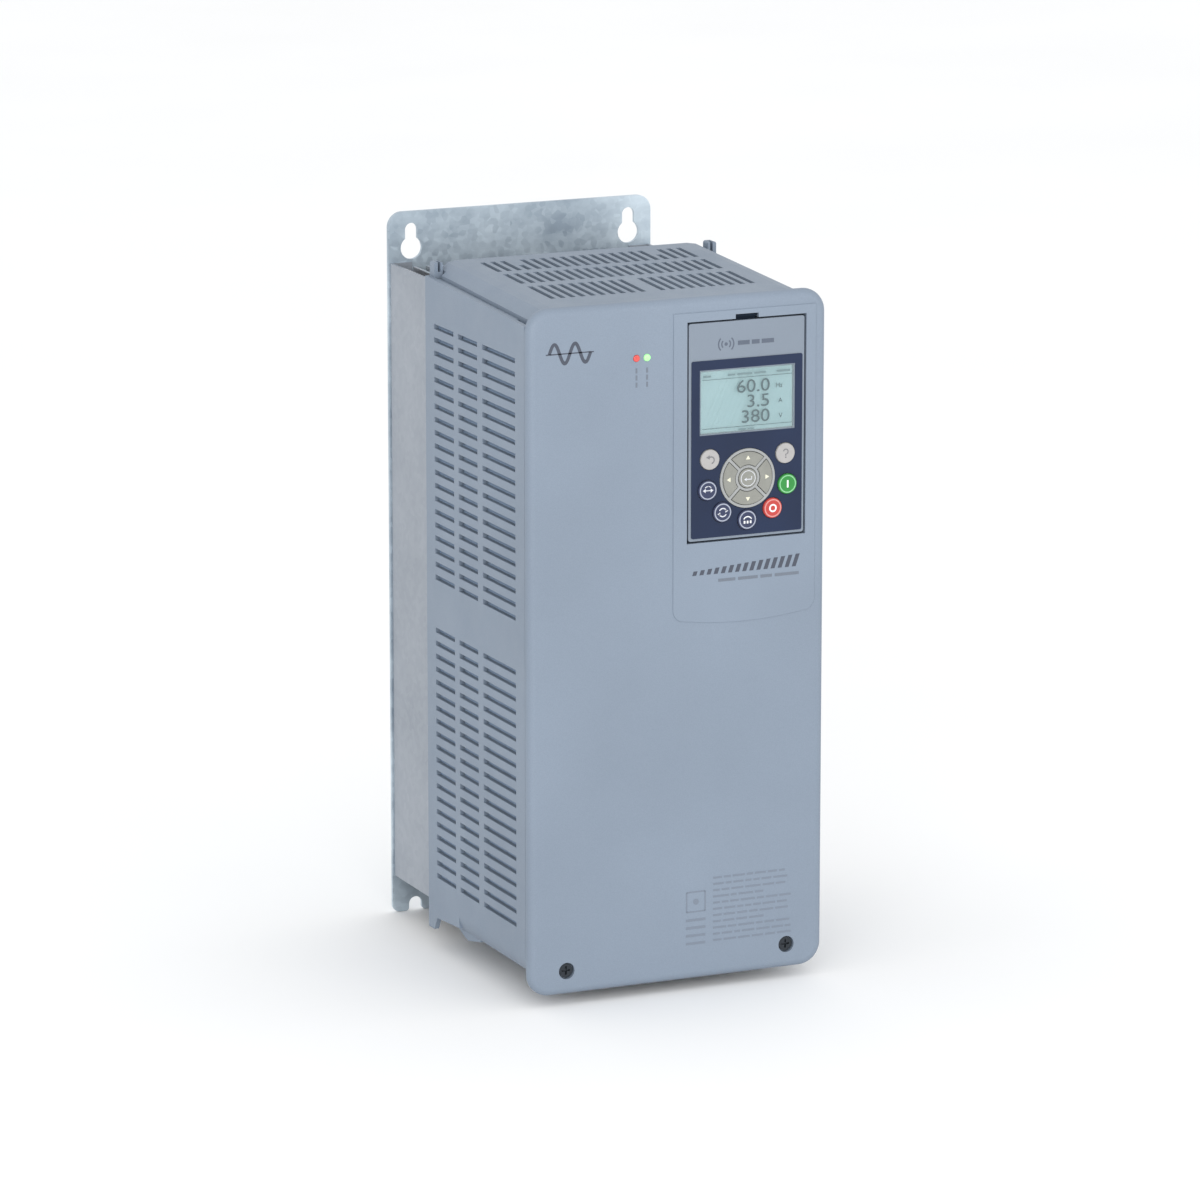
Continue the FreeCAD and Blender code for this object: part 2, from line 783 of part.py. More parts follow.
def keypad_bay(body):
    """The deep bay for the keypad, a finger notch over it and a slot for its plug."""
    wall = s.bay_wall
    left = s.bay_centre - s.bay_half
    right = s.bay_centre + s.bay_half
    top = s.bay_top + s.latch_notch
    tub = sketch_on(body, "XZ_Plane", s.cover_front - s.bay_deep - wall)
    rectangle(tub, left - wall, right + wall, s.bay_low - wall, top + wall)
    pad(body, tub, s.bay_deep)
    opening = sketch_on(body, "XZ_Plane", s.cover_front + s.pad_raise)
    polygon(opening, [
        (left, s.bay_low),
        (right, s.bay_low),
        (right, s.bay_top),
        (s.bay_centre + s.latch_half, s.bay_top),
        (s.bay_centre + s.latch_half, top),
        (s.bay_centre - s.latch_half, top),
        (s.bay_centre - s.latch_half, s.bay_top),
        (left, s.bay_top),
    ])
    pocket(body, opening, s.bay_deep + s.pad_raise)
    plug = sketch_on(body, "XZ_Plane", s.cover_front - s.bay_deep)
    rectangle(plug, s.bay_centre - 12, s.bay_centre + 12, PLUG_HEIGHT - 5, PLUG_HEIGHT + 5)
    pocket(body, plug, wall)


def cover_holes(body, back, deep):
    """Two wells for the screws, each in a boss, and two holes for the lights."""
    ends = (-s.screw_half, s.screw_half)
    for x in ends:
        boss = sketch_on(body, "XZ_Plane", back)
        circle(boss, x, -s.screw_height, s.recess_radius + 1.8)
        pad(body, boss, s.recess_deep)
    wells = sketch_on(body, "XZ_Plane", s.cover_front)
    for x in ends:
        circle(wells, x, -s.screw_height, s.recess_radius)
    pocket(body, wells, s.recess_deep)
    holes = sketch_on(body, "XZ_Plane", s.cover_front)
    for x in ends:
        circle(holes, x, -s.screw_height, s.screw_radius + 0.3)
    for x in LIGHTS.values():
        circle(holes, x, s.light_height, s.light_radius + 0.1)
    pocket(body, holes, deep + 1)


def pad_outline(sketch):
    """The pad around the keypad: straight sides, and a bottom edge that bows down."""
    left = -SIZES["pad_left"]
    right = SIZES["pad_right"]
    low = SIZES["pad_low"]
    high = SIZES["pad_top"]
    corner = 6.0
    cheek = corner * (1 - math.sqrt(0.5))
    bow = 2.6
    middle = (left + right) / 2
    curve = [
        Part.LineSegment(V(left, low + corner, 0), V(left, high, 0)),
        Part.LineSegment(V(left, high, 0), V(right, high, 0)),
        Part.LineSegment(V(right, high, 0), V(right, low + corner, 0)),
        Part.Arc(V(right, low + corner, 0), V(right - cheek, low + cheek, 0),
                 V(right - corner, low, 0)),
        Part.Arc(V(right - corner, low, 0), V(middle, low - bow, 0), V(left + corner, low, 0)),
        Part.Arc(V(left + corner, low, 0), V(left + cheek, low + cheek, 0),
                 V(left, low + corner, 0)),
    ]
    for piece in curve:
        shape = sketch.addGeometry(piece, False)
        sketch.addConstraint(Sketcher.Constraint("Block", shape))


def cover_screws():
    """Pan-head cover screws with a cross recess, down in the cover's two wells."""
    screws = []
    seat = -s.cover_front + s.recess_deep
    top = seat - 2
    arm = 2.2
    half = 0.5
    for number, side in enumerate((-1, 1)):
        x = s.screw_half * side
        z = -s.screw_height
        head = rod(f"cover_head_{number}", 3.6, "y", top, seat, x, z)
        shank = rod(f"cover_shank_{number}", s.screw_radius, "y", top, -s.body_front + 6, x, z)
        groove = (top - 1, top + 1.2)
        across = block(f"cover_across_{number}", (x - arm, x + arm), groove, (z - half, z + half))
        down = block(f"cover_down_{number}", (x - half, x + half), groove, (z - arm, z + arm))
        screws.append(cut(f"cover_screw_{number}", fuse(f"cover_pin_{number}", head, shank),
                          across, down))
    node(together("cover_screws", *screws))


def light(label, x):
    """A light pipe with a rounded end that stands just out of the cover."""
    proud = 0.6
    body = new_body(label)
    start = s.body_front - 4
    pipe = sketch_on(body, "XZ_Plane", start)
    circle(pipe, x, s.light_height, s.light_radius)
    pad(body, pipe, s.cover_front + proud - start)
    round_edges(body, 0.5, lambda e: at_plane(e, "y", -SIZES["cover_front"] - proud))


# --- keypad ---------------------------------------------------------------------------------

FACE = SIZES["cover_front"] + SIZES["pad_raise"]
SKIN = 1.8
OVERLAY = 0.4
MAT_DEPTH = 5.4
SMALL_KEYS = {
    "key_back": (16.9, 90.4),
    "key_help": (58.8, 90.4),
    "key_start": (60.0, 74.5),
    "key_stop": (51.8, 62.7),
    "key_local": (15.7, 74.7),
    "key_direction": (23.9, 62.8),
    "key_jog": (37.7, 57.9),
}
NAV_KEYS = {"key_right": 0, "key_up": 90, "key_left": 180, "key_down": 270}
SCREEN = (11.4, 64.3, 102.7, 136.1)


def keypad_limits():
    """The keypad's outline, inside its bay by the gap all round."""
    left = s.bay_centre - s.bay_half + s.bay_gap
    right = s.bay_centre + s.bay_half - s.bay_gap
    return left, right, s.bay_low + s.bay_gap, s.bay_top - s.bay_gap


def cut_controls(body, out, depth, grow=0.0):
    """Cut the openings for the display and every key through a keypad skin."""
    window = sketch_on(body, "XZ_Plane", out)
    rectangle(window, SCREEN[0] - grow, SCREEN[1] + grow, SCREEN[2] - grow, SCREEN[3] + grow)
    for x, z in SMALL_KEYS.values():
        circle(window, x, z, s.key_radius + s.key_gap)
    circle(window, s.nav_x, s.nav_z, s.nav_radius + s.key_gap)
    pocket(body, window, depth)


def keypad_shell():
    """The keypad's front half: a tray with its walls turned back, and a latch slot on top."""
    body = new_body("keypad_shell")
    left, right, low, high = keypad_limits()
    deep = 10.0
    rear = FACE - OVERLAY - deep
    outline = sketch_on(body, "XZ_Plane", rear)
    rectangle(outline, left, right, low, high)
    pad(body, outline, deep)
    round_edges(body, 1.2, lambda e: runs_along(e, "y"))
    hollow = sketch_on(body, "XZ_Plane", rear)
    rectangle(hollow, left + SKIN, right - SKIN, low + SKIN, high - SKIN)
    pocket(body, hollow, deep - SKIN, backwards=True)
    cut_controls(body, FACE - OVERLAY, SKIN, grow=-0.6)
    latch = sketch_on(body, "XZ_Plane", FACE - OVERLAY - SKIN)
    rectangle(latch, s.bay_centre - 6, s.bay_centre + 6, high - SKIN - 1, high + 1)
    pocket(body, latch, deep)


def keypad_back():
    """The keypad's rear half: a shallow tray with a slot for its plug."""
    body = new_body("keypad_back")
    left, right, low, high = keypad_limits()
    rear = FACE - OVERLAY - 17
    front = FACE - OVERLAY - 10
    outline = sketch_on(body, "XZ_Plane", rear)
    rectangle(outline, left, right, low, high - 9)
    pad(body, outline, front - rear)
    round_edges(body, 1.2, lambda e: runs_along(e, "y"))
    hollow = sketch_on(body, "XZ_Plane", front)
    rectangle(hollow, left + SKIN, right - SKIN, low + SKIN, high - 9 - SKIN)
    pocket(body, hollow, front - rear - SKIN)
    plug = sketch_on(body, "XZ_Plane", front)
    rectangle(plug, s.bay_centre - 9, s.bay_centre + 9, 98, 104)
    pocket(body, plug, front - rear)


def keypad_overlay():
    """The printed sheet on the keypad's face."""
    body = new_body("keypad_overlay")
    sheet = sketch_on(body, "XZ_Plane", FACE - OVERLAY)
    rectangle(sheet, 6.9, 68.3, 50.2, 140.9)
    pad(body, sheet, OVERLAY)
    round_edges(body, 1.0, lambda e: runs_along(e, "y"))
    cut_controls(body, FACE, OVERLAY)


def display():
    """The window, and the display module behind it on the keypad's board."""
    window_front = -FACE + 0.2
    node(block("lcd_window", (SCREEN[0] + 0.6, SCREEN[1] - 0.6),
               (window_front, window_front + 1.2), (SCREEN[2] + 0.6, SCREEN[3] - 0.6)))
    back = -FACE + OVERLAY + SKIN
    frame = block("lcd_frame", (9.5, 66.0), (back, back + 4.2), (100.5, 138.5))
    glass = block("lcd_glass", (12.5, 63.2), (window_front + 1.2, back + 1), (103.8, 135.0))
    node(fuse("lcd_module", frame, glass))


def keypad_electronics():
    """The keypad's board, its contact mat and the plug on its back."""
    left, right, low, high = keypad_limits()
    mat_front = -FACE + MAT_DEPTH
    node(block("key_mat", (left + 3, right - 3), (mat_front, mat_front + 1.2), (51.5, 97.5)))
    board_front = mat_front + 1.2
    board = block("keypad_pcb", (left + 2.2, right - 2.2), (board_front, board_front + 1.2),
                  (low + 2.4, high - 11))
    node(board, "keypad_board")
    plug_body = block("plug_body", (s.bay_centre - 8.6, s.bay_centre + 8.6),
                      (board_front + 1.2, -FACE + 24), (98.4, 103.6))
    node(plug_body, "keypad_plug")


def key_cap(label, x, z):
    """A round key with a rounded face and a collar that holds it behind the skin."""
    body = new_body(label)
    collar = sketch_on(body, "XZ_Plane", FACE - 3.4)
    circle(collar, x, z, s.key_radius + 0.6)
    pad(body, collar, 1)
    cap = sketch_on(body, "XZ_Plane", FACE - 4)
    circle(cap, x, z, s.key_radius)
    pad(body, cap, 5)
    round_edges(body, 0.6, lambda e: at_plane(e, "y", -FACE - 1))


def ring_sector(name, inner, outer, start, sweep, rear, front, gap):
    """A quarter of a ring around the pad's centre, with half a gap along each straight side."""
    centre = V(SIZES["nav_x"], -rear, SIZES["nav_z"])

    def spot(radius, degrees, shrink):
        angle = math.radians(degrees) + shrink * math.asin(gap / radius)
        return centre + V(radius * math.cos(angle), 0, radius * math.sin(angle))

    end = start + sweep
    middle = start + sweep / 2
    edges = [
        Part.Arc(spot(outer, start, 1), spot(outer, middle, 0), spot(outer, end, -1)).toShape(),
        Part.LineSegment(spot(outer, end, -1), spot(inner, end, -1)).toShape(),
        Part.Arc(spot(inner, end, -1), spot(inner, middle, 0), spot(inner, start, 1)).toShape(),
        Part.LineSegment(spot(inner, start, 1), spot(outer, start, 1)).toShape(),
    ]
    solid = Part.Face(Part.Wire(edges)).extrude(V(0, rear - front, 0))
    shape = doc.addObject("Part::Feature", name)
    shape.Shape = solid
    return shape


def nav_keys():
    """Four arrow keys in a ring and a round key in its middle, set in a light bezel."""
    outer = SIZES["nav_radius"] - 1.3
    inner = SIZES["enter_radius"] + 1.6
    for label, facing in NAV_KEYS.items():
        sector = ring_sector(label + "_sector", inner + 0.3, outer - 0.3, facing - 45, 90,
                             FACE - 4, FACE + 0.8, 1.0)
        eased = doc.addObject("Part::Fillet", label)
        eased.Base = sector
        eased.Edges = [(i, 0.4, 0.4) for i, edge in enumerate(sector.Shape.Edges, start=1)
                       if at_plane(edge, "y", -FACE - 0.8)]
        node(eased)
    enter = new_body("key_enter")
    cap = sketch_on(enter, "XZ_Plane", FACE - 4)
    circle(cap, s.nav_x, s.nav_z, s.enter_radius)
    pad(enter, cap, 5)
    round_edges(enter, 0.6, lambda e: at_plane(e, "y", -FACE - 1))
    bezel = new_body("nav_bezel")
    proud = 0.3
    deep = MAT_DEPTH + proud
    disc = sketch_on(bezel, "XZ_Plane", FACE - MAT_DEPTH)
    circle(disc, s.nav_x, s.nav_z, s.nav_radius)
    pad(bezel, disc, deep)
    windows = sketch_on(bezel, "XZ_Plane", FACE + proud)
    circle(windows, s.nav_x, s.nav_z, s.enter_radius + s.key_gap)
    pocket(bezel, windows, deep)
    quarters = sketch_on(bezel, "XZ_Plane", FACE + proud)
    for facing in NAV_KEYS.values():
        quarter_outline(quarters, inner, outer, facing - 45, 90, 0.7)
    pocket(bezel, quarters, deep)


def quarter_outline(sketch, inner, outer, start, sweep, gap):
    """The outline of one quarter window of the bezel, blocked in place."""
    centre = V(SIZES["nav_x"], SIZES["nav_z"], 0)

    def spot(radius, degrees, shrink):
        angle = math.radians(degrees) + shrink * math.asin(gap / radius)
        return centre + V(radius * math.cos(angle), radius * math.sin(angle), 0)

    end = start + sweep
    middle = start + sweep / 2
    pieces = [
        Part.Arc(spot(outer, start, 1), spot(outer, middle, 0), spot(outer, end, -1)),
        Part.LineSegment(spot(outer, end, -1), spot(inner, end, -1)),
        Part.Arc(spot(inner, end, -1), spot(inner, middle, 0), spot(inner, start, 1)),
        Part.LineSegment(spot(inner, start, 1), spot(outer, start, 1)),
    ]
    for piece in pieces:
        shape = sketch.addGeometry(piece, False)
        sketch.addConstraint(Sketcher.Constraint("Block", shape))


def keypad_latch():
    """The sprung catch behind the keypad's top edge; its lip is pressed down to free it."""
    high = keypad_limits()[3]
    half = 5.6
    x = (s.bay_centre - half, s.bay_centre + half)
    skin_rear = -FACE + OVERLAY + SKIN
    tongue = block("latch_tongue", x, (skin_rear + 0.3, -FACE + 9), (high - 4, high + 2.8))
    lip = block("latch_lip", x, (-FACE + 1, -FACE + 9),
                (high + s.latch_travel + 0.3, high + 2.8))
    node(fuse("keypad_latch", tongue, lip))


# --- inside the housing ---------------------------------------------------------------------

def inner_frame():
    """The sheet that closes the duct and carries the boards, open over the power parts."""
    body = new_body("inner_frame")
    sheet = sketch_on(body, "XZ_Plane", s.body_rear)
    inner = s.half_wide - s.wall - 0.2
    rectangle(sheet, -inner, inner, -s.gland_level, s.duct_end - 4)
    pad(body, sheet, s.sheet)
    window = sketch_on(body, "XZ_Plane", s.body_rear + s.sheet)
    rectangle(window, -58, 58, -40, 110)
    pocket(body, window, s.sheet)


def power_parts():
    """The inverter module and the rectifier bridge, bolted to the heat sink."""
    foot = -s.body_rear
    module = block("module_case", (-53, 53), (foot - 17, foot), (25, 70))
    screws = []
    for number, x in enumerate((-46.5, 46.5)):
        well = rod(f"module_well_{number}", 4, "y", foot - 18, foot - 8, x, 47.5)
        module = cut(f"module_{number}", module, well)
        screws.append(rod(f"module_screw_{number}", 3.4, "y", foot - 11.5, foot - 8, x, 47.5))
    node(module, "power_module")
    bridge = block("bridge_case", (-40, 40), (foot - 17, foot), (-30, 4))
    for number, x in enumerate((-34, 34)):
        well = rod(f"bridge_well_{number}", 4, "y", foot - 18, foot - 8, x, -13)
        bridge = cut(f"bridge_{number}", bridge, well)
        screws.append(rod(f"bridge_screw_{number}", 3.4, "y", foot - 11.5, foot - 8, x, -13))
    node(bridge, "rectifier_bridge")
    node(together("module_screws", *screws))


def boards():
    """The power board over the modules and the control board in front of it."""
    thick = s.board_thick
    node(block("power_board", (-68, 68), (-s.power_depth - thick, -s.power_depth), (-62, 126)))
    node(block("control_board", (-76, 76), (-s.control_depth - thick, -s.control_depth),
               (-58, 146)))
    posts = []
    screws = []
    frame = -s.body_rear - s.sheet
    supports = [(x, z, s.power_depth) for x in (-63.5, 63.5) for z in (-57.5, 121.5)]
    supports += [(x, z, s.control_depth) for x in (-72.5, 72.5) for z in (-54, 142)]
    for number, (x, z, depth) in enumerate(supports):
        posts.append(rod(f"post_{number}", 3.0, "y", -depth, frame, x, z))
        screws.append(rod(f"board_screw_{number}", 2.8, "y", -depth - thick - 2, -depth - thick,
                          x, z))
    node(together("standoffs", *posts))
    node(together("board_screws", *screws))


def dc_capacitors():
    """Six snap-in capacitors in two rows on the power board."""
    front = -s.power_depth - s.board_thick
    cans = []
    for row, z in enumerate((102, 66)):
        for column, x in enumerate((-38, 0, 38)):
            cans.append(rod(f"can_{row}_{column}", 15.5, "y", front - 45, front, x, z))
    node(together("dc_capacitors", *cans))


def current_sensors():
    """Three ring sensors on the power board, open along Z for the output bars."""
    front = -s.power_depth - s.board_thick
    rings = []
    for number, x in enumerate((-36, 0, 36)):
        case = block(f"sensor_case_{number}", (x - 11, x + 11), (front - 24, front), (-40, -26))
        hole = block(f"sensor_hole_{number}", (x - 5, x + 5), (front - 17, front - 7), (-41, -25))
        rings.append(cut(f"sensor_{number}", case, hole))
    node(together("current_sensors", *rings))


def dc_choke():
    """The link choke: a laminated core with a winding on each leg."""
    rear = -s.body_rear - s.sheet
    core = block("choke_core", (-70, -20), (rear - 34, rear), (-122, -72))
    window = block("choke_window", (-58, -32), (rear - 35, rear + 1), (-112, -82))
    node(cut("choke_stack", core, window), "choke_core_stack")
    coils = []
    for number, x in enumerate((-64, -26)):
        wound = block(f"coil_{number}", (x - 11, x + 11), (rear - 40, rear - 0.1), (-110, -84))
        leg = block(f"coil_leg_{number}", (x - 6, x + 6), (rear - 34, rear), (-123, -71))
        coils.append(cut(f"choke_coil_{number}", wound, leg))
    node(together("choke_windings", *coils))


def emc_toroid():
    """The common-mode choke: a ring core on a foot, open upwards for the output cables."""
    rear = -SIZES["body_rear"] - SIZES["sheet"]
    tube = 9.0
    circle_radius = 20.0
    x = 38.0
    z = -96.0
    centre = rear - circle_radius - tube - 2
    ring = doc.addObject("Part::Torus", "toroid_ring")
    ring.Radius1 = circle_radius
    ring.Radius2 = tube
    ring.Placement.Base = V(x, centre, z)
    foot = block("toroid_foot", (x - 13, x + 13), (rear - 8, rear), (z - 7, z + 7))
    node(fuse("emc_toroid", ring, foot))


def power_terminals():
    """Seven power terminals in one block, each with a wire opening and a clamp screw."""
    rear = -s.body_rear - s.sheet
    pitch = 16.0
    count = 7
    half = pitch * count / 2
    case = block("terminal_case", (-half, half), (rear - 26, rear), (-152, -130))
    openings = []
    screws = []
    for number in range(count):
        x = pitch * (number + 0.5) - half
        openings.append(block(f"wire_way_{number}", (x - 5.5, x + 5.5), (rear - 19, rear - 7),
                              (-153, -138)))
        openings.append(rod(f"screw_way_{number}", 4.6, "y", rear - 27, rear - 18, x, -141))
        screws.append(rod(f"terminal_screw_{number}", 4.2, "y", rear - 23.5, rear - 19.5,
                          x, -141))
    node(cut("terminal_block", case, *openings), "power_terminals")
    node(together("terminal_screws", *screws))


def control_terminals():
    """The plug-in control terminals along the control board's lower edge."""
    front = -s.control_depth - s.board_thick
    case = block("control_case", (-62, 10), (front - 11, front), (-57, -45))
    ways = []
    count = 12
    for number in range(count):
        x = -59 + number * 6.0
        ways.append(block(f"control_way_{number}", (x - 1.8, x + 1.8), (front - 9, front - 4),
                          (-58, -50)))
    node(cut("control_block", case, *ways), "control_terminals")


def ribbon_cable():
    """The flat cable that drops from the control board to the power board."""
    front = -s.power_depth - s.board_thick
    rear = -s.control_depth
    node(block("ribbon_cable", (20, 46), (rear, front), (18, 19.2)))


def keypad_socket():
    """The socket that faces the bay and takes the keypad's plug."""
    front = -FACE + 24.5
    board = -s.control_depth - s.board_thick
    node(block("keypad_socket", (s.bay_centre - 10.5, s.bay_centre + 10.5), (front, board),
               (95.5, 106.5)))


def earth_studs():
    """Two earthing studs on the frame, each with its nut."""
    rear = -s.body_rear - s.sheet
    studs = []
    for number, x in enumerate((-67, 67)):
        stud = rod(f"stud_{number}", 2.5, "y", rear - 14, rear, x, -140)
        nut = doc.addObject("Part::Prism", f"stud_nut_{number}")
        nut.Polygon = 6
        nut.Circumradius = 4.6
        nut.Height = 4
        nut.Placement = FreeCAD.Placement(V(x, rear.number - 4, -140), AXIS_TURNS["y"])
        studs.append(fuse(f"earth_{number}", stud, nut))
    node(together("earth_studs", *studs))


def build():
    back_plate()
    heat_sink()
    for name, side in (("left", -1), ("right", 1)):
        duct_side("duct_side_" + name, side)
        fan_frame("fan_frame_" + name, side)
        fan_rotor("fan_rotor_" + name, side)
        housing_side("housing_side_" + name, side)
    fan_tray()
    fan_guards()
    top_cover()
    gland_plate()
    grommets()
    front_cover()
    cover_screws()
    for label, x in LIGHTS.items():
        light(label, x)
    keypad_shell()
    keypad_back()
    keypad_overlay()
    display()
    keypad_electronics()
    for label, (x, z) in SMALL_KEYS.items():
        key_cap(label, x, z)
    nav_keys()
    keypad_latch()
    inner_frame()
    power_parts()
    boards()
    dc_capacitors()
    current_sensors()
    dc_choke()
    emc_toroid()
    power_terminals()
    control_terminals()
    ribbon_cable()
    keypad_socket()
    earth_studs()
    doc.recompute()


def write_out():
    """Check every object and every piece, then write one file for each piece."""
    for item in doc.Objects:
        if "Invalid" in item.State or "Error" in item.State:
            raise RuntimeError(f"{item.Label} did not build: {item.State}")
    for piece in nodes:
        if piece.Shape.isNull() or not piece.Shape.isValid():
            raise RuntimeError(f"{piece.Label} has no valid shape")
    os.makedirs("parts", exist_ok=True)
    for piece in nodes:
        piece.Shape.exportStep(f"parts/{piece.Label}.step")


build()
write_out()
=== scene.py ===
"""Looks for the variable frequency drive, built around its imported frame. Metres, +Z up."""

import math
import random

import bmesh
import bpy
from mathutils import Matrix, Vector
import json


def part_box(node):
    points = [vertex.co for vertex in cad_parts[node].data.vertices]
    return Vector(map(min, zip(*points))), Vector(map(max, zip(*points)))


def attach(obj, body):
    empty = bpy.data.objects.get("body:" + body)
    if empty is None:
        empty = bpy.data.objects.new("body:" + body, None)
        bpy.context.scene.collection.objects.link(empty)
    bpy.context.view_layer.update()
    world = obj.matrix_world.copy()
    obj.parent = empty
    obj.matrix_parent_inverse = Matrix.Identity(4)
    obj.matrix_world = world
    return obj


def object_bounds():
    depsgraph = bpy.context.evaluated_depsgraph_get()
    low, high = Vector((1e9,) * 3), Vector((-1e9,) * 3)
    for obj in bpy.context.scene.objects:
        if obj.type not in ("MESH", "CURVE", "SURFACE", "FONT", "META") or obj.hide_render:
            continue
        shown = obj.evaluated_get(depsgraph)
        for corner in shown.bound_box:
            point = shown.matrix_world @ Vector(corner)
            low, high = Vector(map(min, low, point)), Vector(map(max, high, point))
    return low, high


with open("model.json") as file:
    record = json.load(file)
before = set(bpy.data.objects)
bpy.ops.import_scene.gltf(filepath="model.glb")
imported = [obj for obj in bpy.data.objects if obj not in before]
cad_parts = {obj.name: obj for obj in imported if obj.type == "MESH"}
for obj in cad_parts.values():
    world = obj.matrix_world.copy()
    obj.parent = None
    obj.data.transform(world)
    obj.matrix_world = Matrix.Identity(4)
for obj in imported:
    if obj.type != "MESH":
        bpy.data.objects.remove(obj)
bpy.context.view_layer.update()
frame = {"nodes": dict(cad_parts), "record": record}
nodes = frame["nodes"]
MM = 0.001


# --- node trees -----------------------------------------------------------------------------

NOISE_LOW, NOISE_HIGH = 0.3, 0.7  # nearly all of a noise's values lie between these
FINE_RELIEF, RELIEF = 0.1 * MM, 0.3 * MM  # how deep a bump may look
MIX_FACTOR, MIX_FIRST, MIX_SECOND, MIX_RESULT = 0, 6, 7, 2  # sockets of a Mix node for colour


class Tree:
    """A material's node tree, with short ways to add the nodes that the finishes share."""

    def __init__(self, name):
        self.material = bpy.data.materials.new(name)
        self.material.use_nodes = True
        self.nodes = self.material.node_tree.nodes
        self.links = self.material.node_tree.links
        self.shader = self.nodes["Principled BSDF"]
        self.place = self.nodes.new("ShaderNodeTexCoord").outputs["Object"]

    def set(self, **values):
        """Set sockets of the shader, named with underscores for spaces."""
        for name, value in values.items():
            socket = self.shader.inputs[name.replace("_", " ")]
            if isinstance(value, bpy.types.NodeSocket):
                self.links.new(value, socket)
            else:
                socket.default_value = value

    def stretched(self, scale, turn=(0, 0, 0)):
        """The object's own coordinates, scaled along each axis and turned."""
        mapping = self.nodes.new("ShaderNodeMapping")
        mapping.inputs["Scale"].default_value = scale
        mapping.inputs["Rotation"].default_value = turn
        self.links.new(self.place, mapping.inputs["Vector"])
        return mapping.outputs["Vector"]

    def noise(self, scale, detail=2.0, rough=0.5, place=None):
        """Cloudy noise, with about scale features in a metre."""
        node = self.nodes.new("ShaderNodeTexNoise")
        node.inputs["Scale"].default_value = scale
        node.inputs["Detail"].default_value = detail
        node.inputs["Roughness"].default_value = rough
        self.links.new(place or self.place, node.inputs["Vector"])
        return node.outputs["Fac"]

    def cells(self, scale, output="Color"):
        node = self.nodes.new("ShaderNodeTexVoronoi")
        node.inputs["Scale"].default_value = scale
        self.links.new(self.place, node.inputs["Vector"])
        return node.outputs[output]

    def wave(self, scale, direction, distortion):
        node = self.nodes.new("ShaderNodeTexWave")
        node.bands_direction = direction
        node.inputs["Scale"].default_value = scale
        node.inputs["Distortion"].default_value = distortion
        self.links.new(self.place, node.inputs["Vector"])
        return node.outputs["Fac"]

    def bricks(self, scale, line, offset, tones):
        """A brick pattern in the XZ plane; tones are of its two bricks and its lines."""
        node = self.nodes.new("ShaderNodeTexBrick")
        node.offset = offset
        node.inputs["Scale"].default_value = scale
        node.inputs["Mortar Size"].default_value = line
        for name, tone in zip(("Color1", "Color2", "Mortar"), tones):
            node.inputs[name].default_value = shade(tone)
        self.links.new(self.stretched((1, 1, 1), UPRIGHT), node.inputs["Vector"])
        return node.outputs["Color"]

    def ramp(self, value, *stops):
        """A colour ramp; each stop is (position, colour or grey)."""
        node = self.nodes.new("ShaderNodeValToRGB")
        elements = node.color_ramp.elements
        while len(elements) < len(stops):
            elements.new(0.5)  # placed below
        for element, (position, colour) in zip(elements, stops):
            element.position = position
            element.color = shade(colour)
        self.links.new(value, node.inputs["Fac"])
        return node.outputs["Color"]

    def two_tone(self, value, first, second):
        """A ramp between two colours, over the range where a noise's values lie."""
        return self.ramp(value, (NOISE_LOW, first), (NOISE_HIGH, second))

    def mix(self, factor, first, second, blend="MIX"):
        node = self.nodes.new("ShaderNodeMix")
        node.data_type = "RGBA"
        node.blend_type = blend
        for index, value in ((MIX_FACTOR, factor), (MIX_FIRST, first), (MIX_SECOND, second)):
            socket = node.inputs[index]
            if isinstance(value, bpy.types.NodeSocket):
                self.links.new(value, socket)
            else:
                socket.default_value = value if index == MIX_FACTOR else shade(value)
        return node.outputs[MIX_RESULT]

    def range(self, value, low, high, start=NOISE_LOW, end=NOISE_HIGH):
        """Spread the values between start and end from low to high."""
        node = self.nodes.new("ShaderNodeMapRange")
        ends = {"From Min": start, "From Max": end, "To Min": low, "To Max": high}
        for name, number in ends.items():
            node.inputs[name].default_value = number
        self.links.new(value, node.inputs["Value"])
        return node.outputs["Result"]

    def bump(self, height, strength, depth=FINE_RELIEF):
        node = self.nodes.new("ShaderNodeBump")
        node.inputs["Strength"].default_value = strength
        node.inputs["Distance"].default_value = depth
        self.links.new(height, node.inputs["Height"])
        return node.outputs["Normal"]


def shade(colour):
    """A colour or a grey as the four numbers of a colour socket."""
    if isinstance(colour, (int, float)):
        return (colour, colour, colour, 1.0)
    return (*colour, 1.0)


def scaled(colour, factor):
    """A colour made darker or lighter by a factor."""
    return tuple(min(1.0, channel * factor) for channel in colour)


# --- finishes -------------------------------------------------------------------------------

HOUSING = (0.200, 0.245, 0.308)
UPRIGHT = (math.pi / 2, 0, 0)  # turns a brick pattern into the XZ plane
WAVE_GAIN = 20.0  # a Wave node multiplies its scale by this


def moulded(name, colour, grain=0.45, roughness=0.52, relief=0.10, ior=1.46):
    """Moulded plastic with a fine spark-eroded texture; grain is its size in millimetres."""
    tree = Tree(name)
    broad = tree.noise(9.0, detail=3.0)
    fine = tree.noise(1 / MM / grain, rough=0.6)
    base = tree.two_tone(broad, scaled(colour, 0.95), scaled(colour, 1.05))
    specks = tree.ramp(fine, (0.35, 0.94), (0.65, 1.04))
    tree.set(
        Base_Color=tree.mix(1.0, base, specks, "MULTIPLY"),
        Roughness=tree.range(tree.noise(55.0, detail=4.0), roughness - 0.05, roughness + 0.07),
        Normal=tree.bump(fine, relief, RELIEF),
        IOR=ior,
    )
    return tree.material


